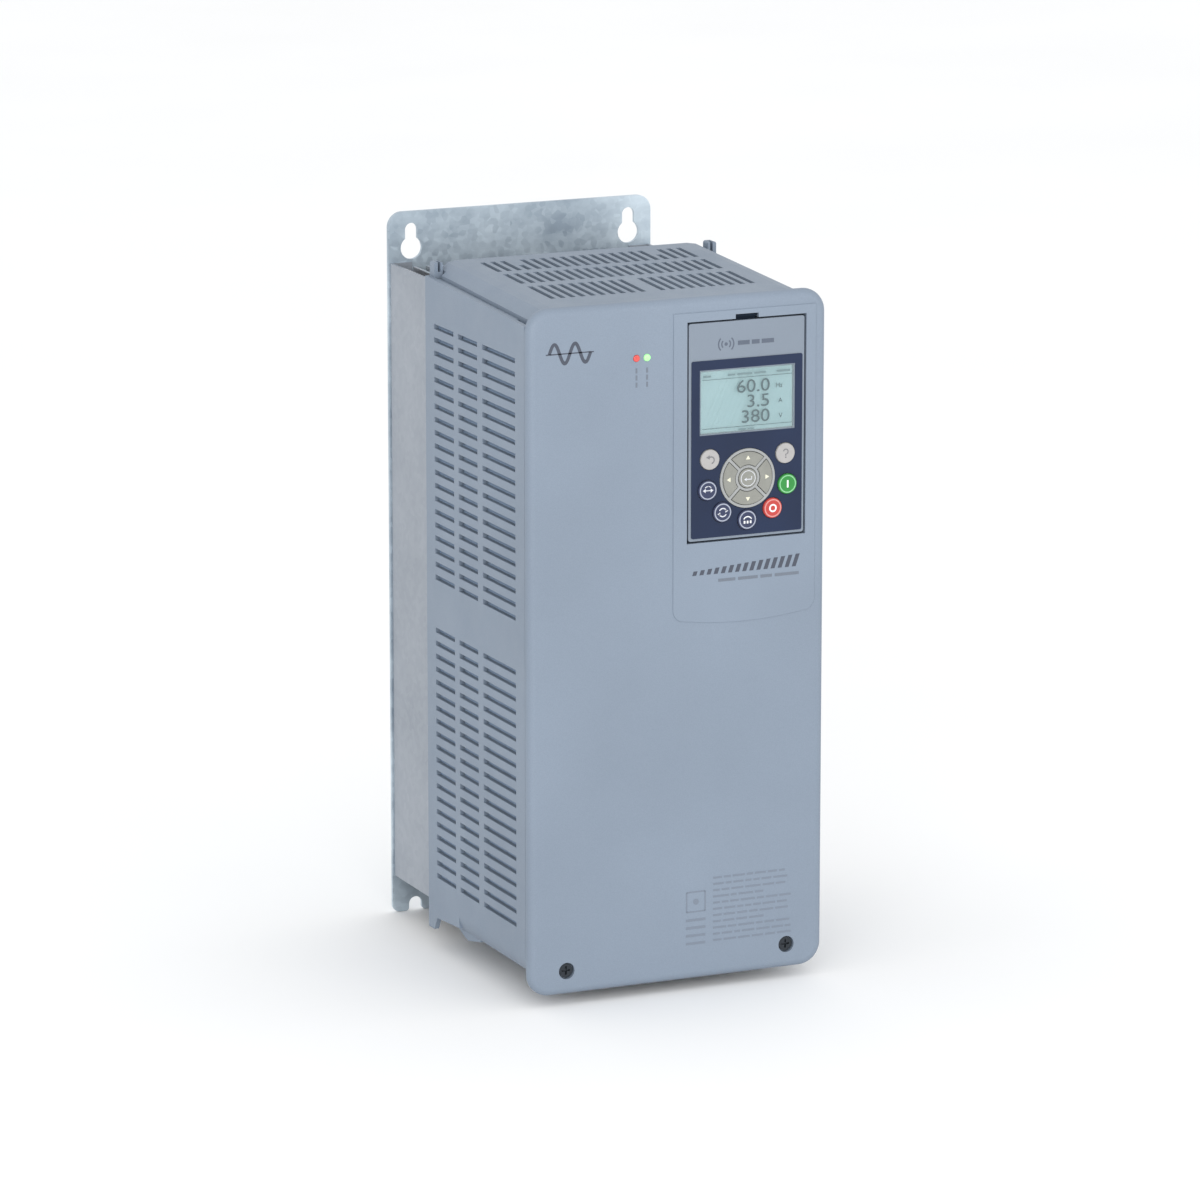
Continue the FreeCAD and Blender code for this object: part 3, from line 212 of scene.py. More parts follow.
def galvanised(name, dark, light, roughness=0.45):
    """Zinc-coated sheet: soft clouds drawn out sideways, under a fine crystalline grain."""
    tree = Tree(name)
    middle = tuple((a + b) / 2 for a, b in zip(dark, light))
    clouds = tree.noise(24.0, detail=4.0, place=tree.stretched((0.8, 1.0, 1.2)))
    streak = tree.noise(75.0, detail=4.0, rough=0.6, place=tree.stretched((0.35, 1.0, 1.0)))
    grey = tree.nodes.new("ShaderNodeRGBToBW")
    tree.links.new(tree.cells(340.0), grey.inputs["Color"])
    spangle = grey.outputs["Val"]
    streak_share, spangle_share = 0.30, 0.11
    tone = tree.mix(spangle_share, tree.mix(streak_share, clouds, streak), spangle)
    tree.set(
        Base_Color=tree.ramp(tone, (0.375, dark), (0.50, middle), (0.625, light)),
        Roughness=tree.range(spangle, roughness - 0.08, roughness + 0.10, start=0.2, end=0.8),
        Normal=tree.bump(tone, 0.12, RELIEF),
        Metallic=0.45,
    )
    return tree.material


def brushed(name, colour, direction, roughness=0.35, metallic=0.9):
    """Drawn or brushed metal, with fine lines along one axis."""
    tree = Tree(name)
    across, along = 900.0, 14.0
    scale = [across, across, across]
    scale["XYZ".index(direction)] = along
    lines = tree.noise(1.0, detail=4.0, rough=0.7, place=tree.stretched(scale))
    stain = tree.noise(18.0, detail=4.0)
    base = tree.two_tone(lines, scaled(colour, 0.88), scaled(colour, 1.08))
    stained = tree.two_tone(stain, scaled(colour, 0.8), colour)
    tree.set(
        Base_Color=tree.mix(0.25, base, stained),
        Roughness=tree.range(lines, roughness - 0.08, roughness + 0.1),
        Normal=tree.bump(lines, 0.1),
        Metallic=metallic,
    )
    return tree.material


def circuit_board(name, colour):
    """Solder mask over fine tracks, with tinned pads scattered among them."""
    tree = Tree(name)
    tracks = tree.bricks(scale=140.0, line=0.028, offset=0.5, tones=(0.0, 0.0, 1.0))
    pads = tree.ramp(tree.cells(260.0, "Distance"), (0.10, 1.0), (0.13, 0.0))
    cloth = tree.noise(700.0)
    lighter = tree.mix(tracks, colour, scaled(colour, 2.0))
    tin = (0.55, 0.52, 0.42)
    tree.set(
        Base_Color=tree.mix(0.08, tree.mix(pads, lighter, tin), cloth),
        Roughness=tree.range(cloth, 0.25, 0.4),
        Normal=tree.bump(tracks, 0.2),
    )
    return tree.material


def wound(name, colour, pitch, direction):
    """Turns of wire or stacked laminations, as bands twice the pitch apart, in millimetres."""
    tree = Tree(name)
    bands = tree.wave(1 / MM / pitch / WAVE_GAIN * math.pi, direction, distortion=0.4)
    patchy = tree.noise(140.0, detail=3.0)
    base = tree.ramp(bands, (0.0, scaled(colour, 0.35)), (0.6, colour))
    stained = tree.range(patchy, 0.0, 0.4, end=0.8)
    tree.set(
        Base_Color=tree.mix(stained, base, scaled(colour, 0.6)),
        Roughness=tree.range(patchy, 0.25, 0.45),
        Normal=tree.bump(bands, 0.8, pitch * RELIEF),
        Metallic=0.5,
    )
    return tree.material


def satin_key(name, colour):
    """A silicone key: soft sheen and a very fine matt surface."""
    tree = Tree(name)
    fine = tree.noise(2600.0)
    broad = tree.noise(160.0)
    tree.set(
        Base_Color=tree.two_tone(broad, scaled(colour, 0.94), scaled(colour, 1.06)),
        Roughness=tree.range(fine, 0.42, 0.56),
        Normal=tree.bump(fine, 0.06),
        Sheen_Weight=0.1,
    )
    return tree.material


def printed(name, colour):
    """Screen-printed ink: nearly flat, with the slight unevenness of its mesh."""
    tree = Tree(name)
    mesh = tree.noise(3800.0, detail=1.0)
    tree.set(
        Base_Color=tree.two_tone(mesh, scaled(colour, 0.85), scaled(colour, 1.12)),
        Roughness=tree.range(mesh, 0.45, 0.6),
    )
    return tree.material


def film(name, colour):
    """The keypad's printed film: thin satin lacquer over a deep even colour."""
    tree = Tree(name)
    ripple = tree.noise(42.0)
    grain = tree.noise(3000.0, detail=1.0)
    tree.set(
        Base_Color=tree.two_tone(ripple, scaled(colour, 0.90), scaled(colour, 1.12)),
        Roughness=tree.range(grain, 0.34, 0.46),
        Normal=tree.bump(grain, 0.03),
        Specular_IOR_Level=0.28,
    )
    return tree.material


def screen(name):
    """The lit display: pale cyan, uneven in soft clouds, under a fine grid of dots."""
    tree = Tree(name)
    grid = tree.bricks(scale=1400.0, line=0.05, offset=0.0, tones=(1.0, 0.98, 0.90))
    tint = tree.two_tone(tree.noise(26.0), (0.22, 0.345, 0.365), (0.255, 0.385, 0.405))
    pale = tree.mix(1.0, tint, grid, "MULTIPLY")
    tree.set(Base_Color=pale, Roughness=0.35, Emission_Color=pale, Emission_Strength=0.12)
    return tree.material


def clear(name, tint, alpha):
    """A thin clear window with a light anti-glare surface."""
    tree = Tree(name)
    haze = tree.noise(900.0)
    tree.set(
        Base_Color=shade(tint),
        Roughness=tree.range(haze, 0.08, 0.16),
        Normal=tree.bump(haze, 0.02),
        Alpha=alpha,
    )
    return tree.material


def lens(name, colour, glow):
    """A diffusing lens; glow is how brightly it is lit from behind."""
    tree = Tree(name)
    tone = tree.two_tone(tree.noise(700.0), scaled(colour, 0.85), scaled(colour, 1.1))
    tree.set(Base_Color=tone, Roughness=0.25, Emission_Color=tone, Emission_Strength=glow,
             Coat_Weight=0.5)
    return tree.material


def make_finishes():
    """One finish for each material slot of the record, and the few that stand apart from them."""
    finishes = {}

    def add(make, name, *values, **named):
        finishes[name] = make(name, *values, **named)

    add(galvanised, "galvanised", (0.275, 0.338, 0.402), (0.520, 0.602, 0.665))
    add(galvanised, "galvanised_duct", (0.292, 0.322, 0.365), (0.330, 0.360, 0.404),
        roughness=0.5)
    add(brushed, "sink_alloy", (0.62, 0.63, 0.65), "Z")
    add(moulded, "fan_plastic", (0.022, 0.022, 0.025), grain=0.3, roughness=0.42)
    add(brushed, "guard_wire", (0.66, 0.66, 0.68), "X", roughness=0.25)
    add(moulded, "housing_plastic", HOUSING)
    add(moulded, "grommet_rubber", (0.02, 0.02, 0.02), grain=0.6, roughness=0.7, relief=0.2)
    # near black: partly the screws' own dark finish, partly painted shade that stands for deeper
    # wells around them
    add(brushed, "screw_steel", (0.018, 0.024, 0.032), "X", roughness=0.40, metallic=0.3)
    add(brushed, "stud_brass", (0.60, 0.45, 0.20), "Y", roughness=0.3)
    add(moulded, "module_epoxy", (0.035, 0.035, 0.04), grain=0.5, roughness=0.5, relief=0.15)
    add(circuit_board, "board_green", (0.010, 0.085, 0.040))
    add(film, "capacitor_sleeve", (0.012, 0.020, 0.050))
    add(moulded, "sensor_plastic", (0.04, 0.08, 0.22))
    add(wound, "core_steel", (0.16, 0.15, 0.15), pitch=1.0, direction="Y")
    add(wound, "winding_copper", (0.55, 0.22, 0.08), pitch=1.6, direction="Z")
    add(moulded, "ferrite", (0.035, 0.04, 0.038), grain=0.8, roughness=0.45, relief=0.3)
    add(moulded, "terminal_plastic", (0.05, 0.055, 0.06))
    add(wound, "ribbon_plastic", (0.42, 0.43, 0.45), pitch=1.27, direction="X")
    add(lens, "lens_red", (0.56, 0.055, 0.045), glow=0.30)
    add(lens, "lens_green", (0.26, 0.80, 0.22), glow=1.0)
    add(moulded, "keypad_plastic", (0.186, 0.222, 0.272), grain=0.35)
    add(film, "overlay_navy", (0.0075, 0.0175, 0.052))
    add(clear, "lcd_clear", (0.75, 0.90, 0.92), alpha=0.12)
    add(screen, "lcd_panel")
    add(moulded, "mat_rubber", (0.16, 0.16, 0.165), grain=0.5, roughness=0.6)
    add(satin_key, "bezel_light", (0.30, 0.31, 0.31))
    add(satin_key, "key_grey", (0.225, 0.228, 0.205))
    add(satin_key, "key_navy", (0.014, 0.022, 0.070))
    add(satin_key, "key_green", (0.012, 0.215, 0.028))
    add(satin_key, "key_red", (0.45, 0.035, 0.028))
    add(satin_key, "key_pale", (0.36, 0.35, 0.345))
    # painted light: the louvre blades are coloured lighter and bluer than the housing plastic they
    # stand for, so the shaded slot interiors look brighter
    add(moulded, "louvre", (0.29, 0.385, 0.52))
    add(brushed, "rivet", (0.30, 0.33, 0.36), "X", roughness=0.35)
    # painted shade: the keypad latch is coloured near black, with a low IOR to damp its
    # reflections, to stand for the shade in the cover's notch
    add(moulded, "latch_dark", (0.008, 0.014, 0.024), ior=1.15)
    add(moulded, "chip_resistor", (0.30, 0.24, 0.16), grain=0.3, roughness=0.4)
    return finishes


# The latch's near-black finish is painted shade for the notch it sits in.
OWN_FINISH = {"key_back": "key_pale", "key_help": "key_pale", "keypad_latch": "latch_dark"}


def dress_nodes(finishes):
    """Give every carried-over node the finish of its slot."""
    slots = {part["node"]: part["material_slot"] for part in frame["record"]["subparts"]}
    for name, node in nodes.items():
        node.data.materials.clear()
        node.data.materials.append(finishes[OWN_FINISH.get(name, slots[name])])


# --- pieces ---------------------------------------------------------------------------------

def mount(name, mesh, body, material):
    """An object of a finished mesh, riding on its body."""
    mesh.materials.append(material)
    made = bpy.data.objects.new(name, mesh)
    bpy.context.scene.collection.objects.link(made)
    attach(made, body)


def piece(name, body, material, draw):
    """A new mesh piece: draw fills a bmesh, in metres and in the frame's own axes."""
    mesh = bpy.data.meshes.new(name)
    shape = bmesh.new()
    draw(shape)
    bmesh.ops.recalc_face_normals(shape, faces=shape.faces)
    shape.to_mesh(mesh)
    shape.free()
    mount(name, mesh, body, material)


def prism(shape, rings):
    """A closed solid between two rings of the same number of points."""
    first, last = [[shape.verts.new(point) for point in points] for points in rings]
    shape.faces.new(first)
    shape.faces.new(last[::-1])
    count = len(first)
    for i in range(count):
        j = (i + 1) % count
        shape.faces.new((first[i], last[i], last[j], first[j]))


def outline(shape, points, front, thick):
    """A flat closed solid from (x, z) points, its front face at y = front."""
    prism(shape, [[(x, y, z) for x, z in points] for y in (front, front + thick)])


def bar(shape, x_low, x_high, z_low, z_high, front, thick):
    """A flat rectangle, as an outline."""
    outline(shape, [(x_low, z_low), (x_high, z_low), (x_high, z_high), (x_low, z_high)],
            front, thick)


def ribbon(shape, path, width, front, thick):
    """A line of one width along a path of (x, z) points, as joined flat bars."""
    spots = [Vector(point) for point in path]
    left = []
    right = []
    for i, spot in enumerate(spots):
        ahead = spots[min(i + 1, len(spots) - 1)] - spots[max(i - 1, 0)]
        across = Vector((-ahead.y, ahead.x)).normalized() * width / 2
        left.append(spot + across)
        right.append(spot - across)
    outline(shape, [(p.x, p.y) for p in left + right[::-1]], front, thick)


def arc_path(x, z, radius, start, end, steps=24):
    """Points (x, z) along an arc, from one angle in degrees to the other."""
    angles = [math.radians(start + (end - start) * i / steps) for i in range(steps + 1)]
    return [(x + radius * math.cos(a), z + radius * math.sin(a)) for a in angles]


def ring(shape, x, z, radius, width, front, thick, steps=48):
    """A closed flat ring, centred on its line."""
    loops = []
    for reach in (radius - width / 2, radius + width / 2):
        spots = arc_path(x, z, reach, 0, 360, steps)[:-1]
        for y in (front, front + thick):
            loops.append([shape.verts.new((px, y, pz)) for px, pz in spots])
    inner_front, inner_rear, outer_front, outer_rear = loops
    for a, b in ((inner_front, outer_front), (outer_front, outer_rear),
                 (outer_rear, inner_rear), (inner_rear, inner_front)):
        for i in range(steps):
            j = (i + 1) % steps
            shape.faces.new((a[i], a[j], b[j], b[i]))


def disc(shape, x, z, radius, front, thick, steps=32):
    """A flat round solid, as an outline."""
    outline(shape, arc_path(x, z, radius, 0, 360, steps)[:-1], front, thick)


def arrowhead(shape, x, z, radius, angle, front, thick):
    """A triangle around (x, z) whose tip points along angle, in degrees."""
    outline(shape, arc_path(x, z, radius, angle, angle + 360, 3)[:-1], front, thick)


def centre_of(node):
    """The middle of a CAD node's box."""
    low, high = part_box(node)
    return (low + high) / 2


def block(shape, low, high):
    """A box between two corners."""
    bar(shape, low[0], high[0], low[2], high[2], low[1], high[1] - low[1])


INK = 0.06 * MM  # how far a printed mark stands proud

SIDE_WALL = 2.5 * MM
SLOT_TALL = 2.6 * MM
SLOT_PITCH = 6.9 * MM
SLOT_ROWS = 20
SLOT_FIELDS = (145.4 * MM, -13.7 * MM)  # the middle of each field's top row
LOUVRE_REACH = 2.7 * MM
LOUVRE_THICK = 0.9 * MM
LOUVRE_FRONT, LOUVRE_REAR = -188.0 * MM, -78.5 * MM
RIB_PLACES = (-187.0 * MM, -139.9 * MM, -109.0 * MM, -79.5 * MM)
RIB_HALF = 1 * MM
RIB_PAST_ROWS = 4 * MM

# Each end's y, and the level there of the side panel's top edge.
GUTTER_ENDS = ((-178.2 * MM, 165.48 * MM), (-77.0 * MM, 169.52 * MM))
# In millimetres: out from the middle plane, and up from that edge.
GUTTER_PROFILE = ((79.05, -2.0), (79.05, -1.3), (78.5, -0.6),
                  (76.9, -0.6), (76.35, -1.3), (76.35, -2.0))

RIVET_COLUMNS = (-66.0 * MM, 66.0 * MM)
RIVET_LOWEST, RIVET_PITCH, RIVET_ROWS = -148.0, 74.0, 5
RIVET_RADIUS, RIVET_DEEP = 3.2 * MM, 0.6 * MM
RIVET_RIM, RIVET_RIM_WIDTH = 1.5 * MM, 0.5 * MM

SHEET_THICK = 0.8 * MM
SHEET_HALF, SHEET_TOP_HALF = 71.5 * MM, 67.5 * MM
# Levels from the inner frame's top edge.
SHEET_FOOT, SHEET_SHOULDER, SHEET_TOP = 6 * MM, 10.2 * MM, 13.1 * MM
SHEET_RIVET_DROP, SHEET_RIVET_RADIUS, SHEET_RIVET_TALL = 3 * MM, 2.0 * MM, 0.7 * MM
SHEET_RIVETS = [step * 20 * MM for step in range(-3, 4)]

# The control board's parts, in millimetres: x and z of the middle, then the size.
CHIPS = (  # wide, tall
    (-42, 110, 20, 20), (-10, 96, 14, 14), (-56, 70, 10, 16), (-30, 60, 12, 9),
    (4, 66, 9, 12), (28, 70, 16, 10), (58, 60, 12, 18), (-58, 20, 14, 9), (-28, 16, 9, 9),
    (2, 24, 16, 12), (56, 12, 10, 14), (-44, -18, 12, 8), (-8, -16, 10, 10),
    (56, -22, 14, 8), (62, 118, 8, 12), (6, 124, 10, 8),
)
CANS = (  # radius, height
    (-64, 128, 4.0, 9), (-54, 130, 3.2, 8), (-66, 46, 4.0, 10), (34, 44, 5.0, 12),
    (46, 40, 5.0, 12), (66, 88, 4.0, 10), (-66, -6, 3.2, 8), (20, -30, 4.0, 9),
    (30, -32, 4.0, 9), (66, -44, 3.2, 8),
)
CHIP_FACE, CHIP_REAR = 2.2, 0.3  # their height off the board
LEG_PITCH, LEG_INSET, LEG_HALF = 1.6, 1.2, 0.3
LEG_OUT, LEG_HALF_LONG, LEG_TALL = 0.6, 0.8, 0.9
CAN_RIM, CAN_CAP = 0.6, 0.1
GRAINS = 90
GRAIN_AREA = ((-70, 70), (-40, 140))
GRAIN_CLEARING = (20, 54, 88, 112)  # x and z limits around the keypad's socket
GRAIN_SIZES = ((1.6, 0.8), (2.0, 1.2), (3.2, 1.6))
GRAIN_TALL = 0.7


def side_louvres(finish):
    """Sloping blades behind each row of side slots, which close the view but leave a gap."""
    for side, name in ((-1, "left"), (1, "right")):
        low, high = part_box(f"housing_side_{name}")
        wall = (low.x if side < 0 else high.x) - side * SIDE_WALL
        inner = wall - side * LOUVRE_REACH
        left, right = sorted((wall, inner))

        def blades(shape):
            for first in SLOT_FIELDS:
                for row in range(SLOT_ROWS):
                    sill = first - row * SLOT_PITCH - SLOT_TALL / 2
                    outline(shape, [(wall, sill - LOUVRE_THICK), (wall, sill),
                                    (inner, sill + SLOT_TALL),
                                    (inner, sill + SLOT_TALL - LOUVRE_THICK)],
                            LOUVRE_FRONT, LOUVRE_REAR - LOUVRE_FRONT)
                last = first - (SLOT_ROWS - 1) * SLOT_PITCH
                for place in RIB_PLACES:
                    block(shape, (left, place - RIB_HALF, last - RIB_PAST_ROWS),
                          (right, place + RIB_HALF, first + RIB_PAST_ROWS))

        piece(f"louvres_{name}", "chassis", finish, blades)


def gutter_strips(finish):
    """A crowned lip that nearly fills the gutter between a side panel and the top."""
    for side, name in ((-1, "left"), (1, "right")):
        def strip(shape):
            prism(shape, [[(side * x * MM, y, level + z * MM) for x, z in GUTTER_PROFILE]
                          for y, level in GUTTER_ENDS])

        piece(f"gutter_strip_{name}", "chassis", finish, strip)


def plate_rivets(finish):
    """Flush rivets that hold the duct's sides to the wall plate, seen on its rear face."""
    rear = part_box("back_plate")[1].y + INK

    def heads(shape):
        for x in RIVET_COLUMNS:
            for level in range(RIVET_ROWS):
                z = (RIVET_LOWEST + RIVET_PITCH * level) * MM
                disc(shape, x, z, RIVET_RADIUS, rear - RIVET_DEEP, RIVET_DEEP)
                ring(shape, x, z, RIVET_RIM, RIVET_RIM_WIDTH, rear - INK, 2 * INK)

    piece("plate_rivets", "chassis", finish, heads)


def closing_sheet(finish):
    """The sheet that closes the slit between the inner frame and the top, with its rivets."""
    low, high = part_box("inner_frame")
    front = low.y - SHEET_THICK
    foot, shoulder, top = high.z - SHEET_FOOT, high.z + SHEET_SHOULDER, high.z + SHEET_TOP

    def sheet(shape):
        outline(shape, [(-SHEET_HALF, foot), (SHEET_HALF, foot), (SHEET_HALF, shoulder),
                        (SHEET_TOP_HALF, top), (-SHEET_TOP_HALF, top), (-SHEET_HALF, shoulder)],
                front, SHEET_THICK)
        for x in SHEET_RIVETS:
            disc(shape, x, high.z - SHEET_RIVET_DROP, SHEET_RIVET_RADIUS,
                 front - SHEET_RIVET_TALL, SHEET_RIVET_TALL, steps=20)

    piece("closing_sheet", "chassis", finish, sheet)


def board_parts(finishes):
    """The small parts on the control board: chips on legs, capacitor cans, and tiny resistors."""
    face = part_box("control_board")[0].y
    dice = random.Random(11)

    def upright(shape, x, z, half_wide, half_tall, top, foot=0.0):
        """A box on the board, from its top down to its foot, in millimetres."""
        block(shape, ((x - half_wide) * MM, face - top * MM, (z - half_tall) * MM),
              ((x + half_wide) * MM, face - foot * MM, (z + half_tall) * MM))

    def bodies(shape):
        for x, z, wide, tall in CHIPS:
            upright(shape, x, z, wide / 2, tall / 2, CHIP_FACE, CHIP_REAR)

    def legs(shape):
        for x, z, wide, tall in CHIPS:
            for step in range(int(wide / LEG_PITCH)):
                spot = x - wide / 2 + LEG_INSET + LEG_PITCH * step
                for edge in (z - tall / 2 - LEG_OUT, z + tall / 2 + LEG_OUT):
                    upright(shape, spot, edge, LEG_HALF, LEG_HALF_LONG, LEG_TALL)

    def cylinders(shape):
        for x, z, radius, tall in CANS:
            disc(shape, x * MM, z * MM, radius * MM, face - tall * MM, tall * MM)

    def tops(shape):
        for x, z, radius, tall in CANS:
            disc(shape, x * MM, z * MM, (radius - CAN_RIM) * MM, face - (tall + CAN_CAP) * MM,
                 CAN_CAP * MM)

    def grains(shape):
        across, up = GRAIN_AREA
        left, right, low, high = GRAIN_CLEARING
        for _ in range(GRAINS):
            x, z = dice.uniform(*across), dice.uniform(*up)
            if left < x < right and low < z < high:
                continue
            long, wide = dice.choice(GRAIN_SIZES)
            if dice.random() < 0.5:
                long, wide = wide, long
            upright(shape, x, z, long / 2, wide / 2, GRAIN_TALL)

    piece("board_chips", "chassis", finishes["module_epoxy"], bodies)
    piece("board_chip_legs", "chassis", finishes["guard_wire"], legs)
    piece("board_cans", "chassis", finishes["capacitor_sleeve"], cylinders)
    piece("board_can_tops", "chassis", finishes["guard_wire"], tops)
    piece("board_grains", "chassis", finishes["chip_resistor"], grains)


# Marks on the front cover: places and sizes in millimetres.
WAVE_CENTRE, WAVE_HALF, WAVE_SWING, WAVE_LINE = (-59.4, 150.3), 11.2, 5.0, 1.7
WAVE_STEPS = 48
AXIS_HALF, AXIS_HALF_LINE = 13.0, 0.3
SCALE_ENDS, SCALE_BARS, SCALE_FOOT = (7.5, 67.0), 15, 31.3
SCALE_TALLEST, SCALE_SHORTEST, SCALE_LEAN = 6.4, 0.35, 0.35  # the last two are shares of height
SCALE_BAR_WIDE = 2.2
UNDERLINE = ((22.0, 31.5), (33.0, 44.0), (45.5, 52.0), (53.5, 67.0))
UNDERLINE_LOW, UNDERLINE_HIGH = 27.0, 28.6
NOTE_TOP, NOTE_PITCH, NOTE_LINES, NOTE_LEFT = -127.5, 3.3, 11, 20.0
NOTE_LONG, NOTE_SHORT = 64.0, 50.0
NOTE_WORDS, NOTE_GAP, NOTE_HALF_LINE, NOTE_LEAST = (3.0, 9.0), 1.1, 0.55, 3
SQUARE_CENTRE, SQUARE_HALF, SQUARE_LINE, SQUARE_DOT = (10.4, -139.0), 5.2, 0.8, 1.6
SHORT_ENDS, SHORT_TOP, SHORT_PITCH, SHORT_LINES, SHORT_HALF_LINE = (4.8, 15.8), -148.6, 4.1, 4, 0.7
DASH_TOP, DASH_PITCH, DASH_TALL, DASH_HALF, DASHES = 140.0, 3.6, 2.6, 0.5, 3
PAD_RISE = 0.5 * MM  # how far the cover's pad stands out from the rest of its front


def cover_prints():
    """Generic marks where the drive carries its printing, in three strengths of one ink."""
    ink = printed("cover_ink", (0.050, 0.060, 0.085))
    pale_ink = printed("cover_ink_pale", (0.135, 0.160, 0.200))
    faint_ink = printed("cover_ink_faint", (0.165, 0.198, 0.250))
    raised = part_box("front_cover")[0].y - INK
    flat = raised + PAD_RISE

    def wave_mark(shape):
        x, z = WAVE_CENTRE[0] * MM, WAVE_CENTRE[1] * MM
        path = [(x + WAVE_HALF * MM * (2 * i / WAVE_STEPS - 1),
                 z + WAVE_SWING * MM * math.sin(4 * math.pi * i / WAVE_STEPS))
                for i in range(WAVE_STEPS + 1)]
        ribbon(shape, path, WAVE_LINE * MM, flat, INK)
        bar(shape, x - AXIS_HALF * MM, x + AXIS_HALF * MM, z - AXIS_HALF_LINE * MM,
            z + AXIS_HALF_LINE * MM, flat, INK)

    def speed_scale(shape):
        left, right = SCALE_ENDS[0] * MM, SCALE_ENDS[1] * MM
        pitch = (right - left) / SCALE_BARS
        wide = SCALE_BAR_WIDE * MM
        z = SCALE_FOOT * MM
        for i in range(SCALE_BARS):
            x = left + pitch * i
            share = SCALE_SHORTEST + (1 - SCALE_SHORTEST) * i / (SCALE_BARS - 1)
            tall = SCALE_TALLEST * MM * share
            lean = tall * SCALE_LEAN
            outline(shape, [(x, z), (x + wide, z), (x + wide + lean, z + tall),
                            (x + lean, z + tall)], raised, INK)

    def scale_line(shape):
        for start, end in UNDERLINE:
            bar(shape, start * MM, end * MM, UNDERLINE_LOW * MM, UNDERLINE_HIGH * MM, raised, INK)

    def note_lines(shape):
        dice = random.Random(7)
        z = NOTE_TOP * MM
        half = NOTE_HALF_LINE * MM
        for line in range(NOTE_LINES):
            x = NOTE_LEFT * MM
            end = (NOTE_LONG if line % 4 < 3 else NOTE_SHORT) * MM
            while x < end - NOTE_LEAST * MM:
                word = min(dice.uniform(*NOTE_WORDS) * MM, end - x)
                bar(shape, x, x + word, z - half, z + half, flat, INK)
                x += word + NOTE_GAP * MM
            z -= NOTE_PITCH * MM

    def note_square(shape):
        x, z, half = SQUARE_CENTRE[0] * MM, SQUARE_CENTRE[1] * MM, SQUARE_HALF * MM
        corners = [(x - half, z - half), (x + half, z - half), (x + half, z + half),
                   (x - half, z + half)]
        for start, end in zip(corners, corners[1:] + corners[:1]):
            ribbon(shape, [start, end], SQUARE_LINE * MM, flat, INK)
        disc(shape, x, z, SQUARE_DOT * MM, flat, INK)

    def short_lines(shape):
        left, right = SHORT_ENDS
        half = SHORT_HALF_LINE * MM
        for line in range(SHORT_LINES):
            z = (SHORT_TOP - SHORT_PITCH * line) * MM
            bar(shape, left * MM, right * MM, z - half, z + half, flat, INK)

    def light_marks(shape):
        half = DASH_HALF * MM
        for light in ("led_fault", "led_run"):
            x = centre_of(light).x
            for dash in range(DASHES):
                top = (DASH_TOP - DASH_PITCH * dash) * MM
                bar(shape, x - half, x + half, top - DASH_TALL * MM, top, flat, INK)

    for label, material, draw in (
        ("wave", ink, wave_mark), ("speed_scale", ink, speed_scale),
        ("scale_line", pale_ink, scale_line), ("note_lines", faint_ink, note_lines),
        ("note_square", faint_ink, note_square), ("short_lines", faint_ink, short_lines),
        ("lights", pale_ink, light_marks),
    ):
        piece("mark_" + label, "cover", material, draw)


# Marks on the keypad: places and sizes in millimetres.
RADIO_CENTRE, RADIO_DOT, RADIO_ARCS, RADIO_LINE = (26.0, 148.6), 0.9, (2.4, 4.2), 0.7
RADIO_SPREAD = 45  # degrees to each side
RADIO_BARS = ((32.5, 39.0), (40.2, 44.5), (45.7, 52.5))
RADIO_BARS_LOW, RADIO_BARS_HIGH = 147.6, 149.8


def keypad_prints():
    """The radio mark on the keypad's upper strip."""
    ink = printed("keypad_ink", (0.085, 0.105, 0.145))
    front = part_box("keypad_shell")[0].y - INK

    def radio_mark(shape):
        x, z = RADIO_CENTRE[0] * MM, RADIO_CENTRE[1] * MM
        disc(shape, x, z, RADIO_DOT * MM, front, INK)
        for radius in RADIO_ARCS:
            for middle in (0, 180):
                arc = arc_path(x, z, radius * MM, middle - RADIO_SPREAD, middle + RADIO_SPREAD, 12)
                ribbon(shape, arc, RADIO_LINE * MM, front, INK)

    def radio_line(shape):
        for start, end in RADIO_BARS:
            bar(shape, start * MM, end * MM, RADIO_BARS_LOW * MM, RADIO_BARS_HIGH * MM, front, INK)

    piece("mark_radio", "keypad", ink, radio_mark)
    piece("mark_radio_line", "keypad", ink, radio_line)


# The display: levels and words' ends in millimetres, the rest in metres.
FIGURES = (("60.0", "Hz", 123.2), ("3.5", "A", 115.4), ("380", "V", 107.6))
FIGURE_SIZE, FIGURE_WIDEN, FIGURE_INSET = 9.3 * MM, 1.18, 13.2 * MM
UNIT_SIZE, UNIT_ASIDE, UNIT_RAISE = 3.4 * MM, 6.8 * MM, 1.2 * MM
FRAME_LEVELS, FRAME_HALF_LINE = (131.0, 106.0), 0.12
FRAME_INSET = 1 * MM
STATUS_ROWS = (  # the lower and upper edge of a row of words, then the words' ends
    (132.3, 133.2, ((13.4, 17.6), (27.0, 31.0), (32.0, 40.5), (41.5, 48.0), (54.0, 61.5))),
    (104.1, 104.9, ((33.0, 37.0), (38.0, 41.5))),
)


def lettering(name, text, size, right, base, front, material, widen=1.0):
    """Right-aligned figures on the display, standing in the XZ plane, as a thin mesh."""
    curve = bpy.data.curves.new(name + "_curve", "FONT")
    curve.body = text
    curve.size = size
    curve.align_x = "RIGHT"
    curve.extrude = INK / 2
    curve.resolution_u = 6
    source = bpy.data.objects.new(name + "_source", curve)
    bpy.context.scene.collection.objects.link(source)
    bpy.context.view_layer.update()
    mesh = bpy.data.meshes.new_from_object(source)
    bpy.data.objects.remove(source)
    for vertex in mesh.vertices:
        x, z, lift = vertex.co
        vertex.co = (right + x * widen, front - lift, base + z)
    mesh.materials.clear()
    mesh.name = name
    mount(name, mesh, "keypad", material)


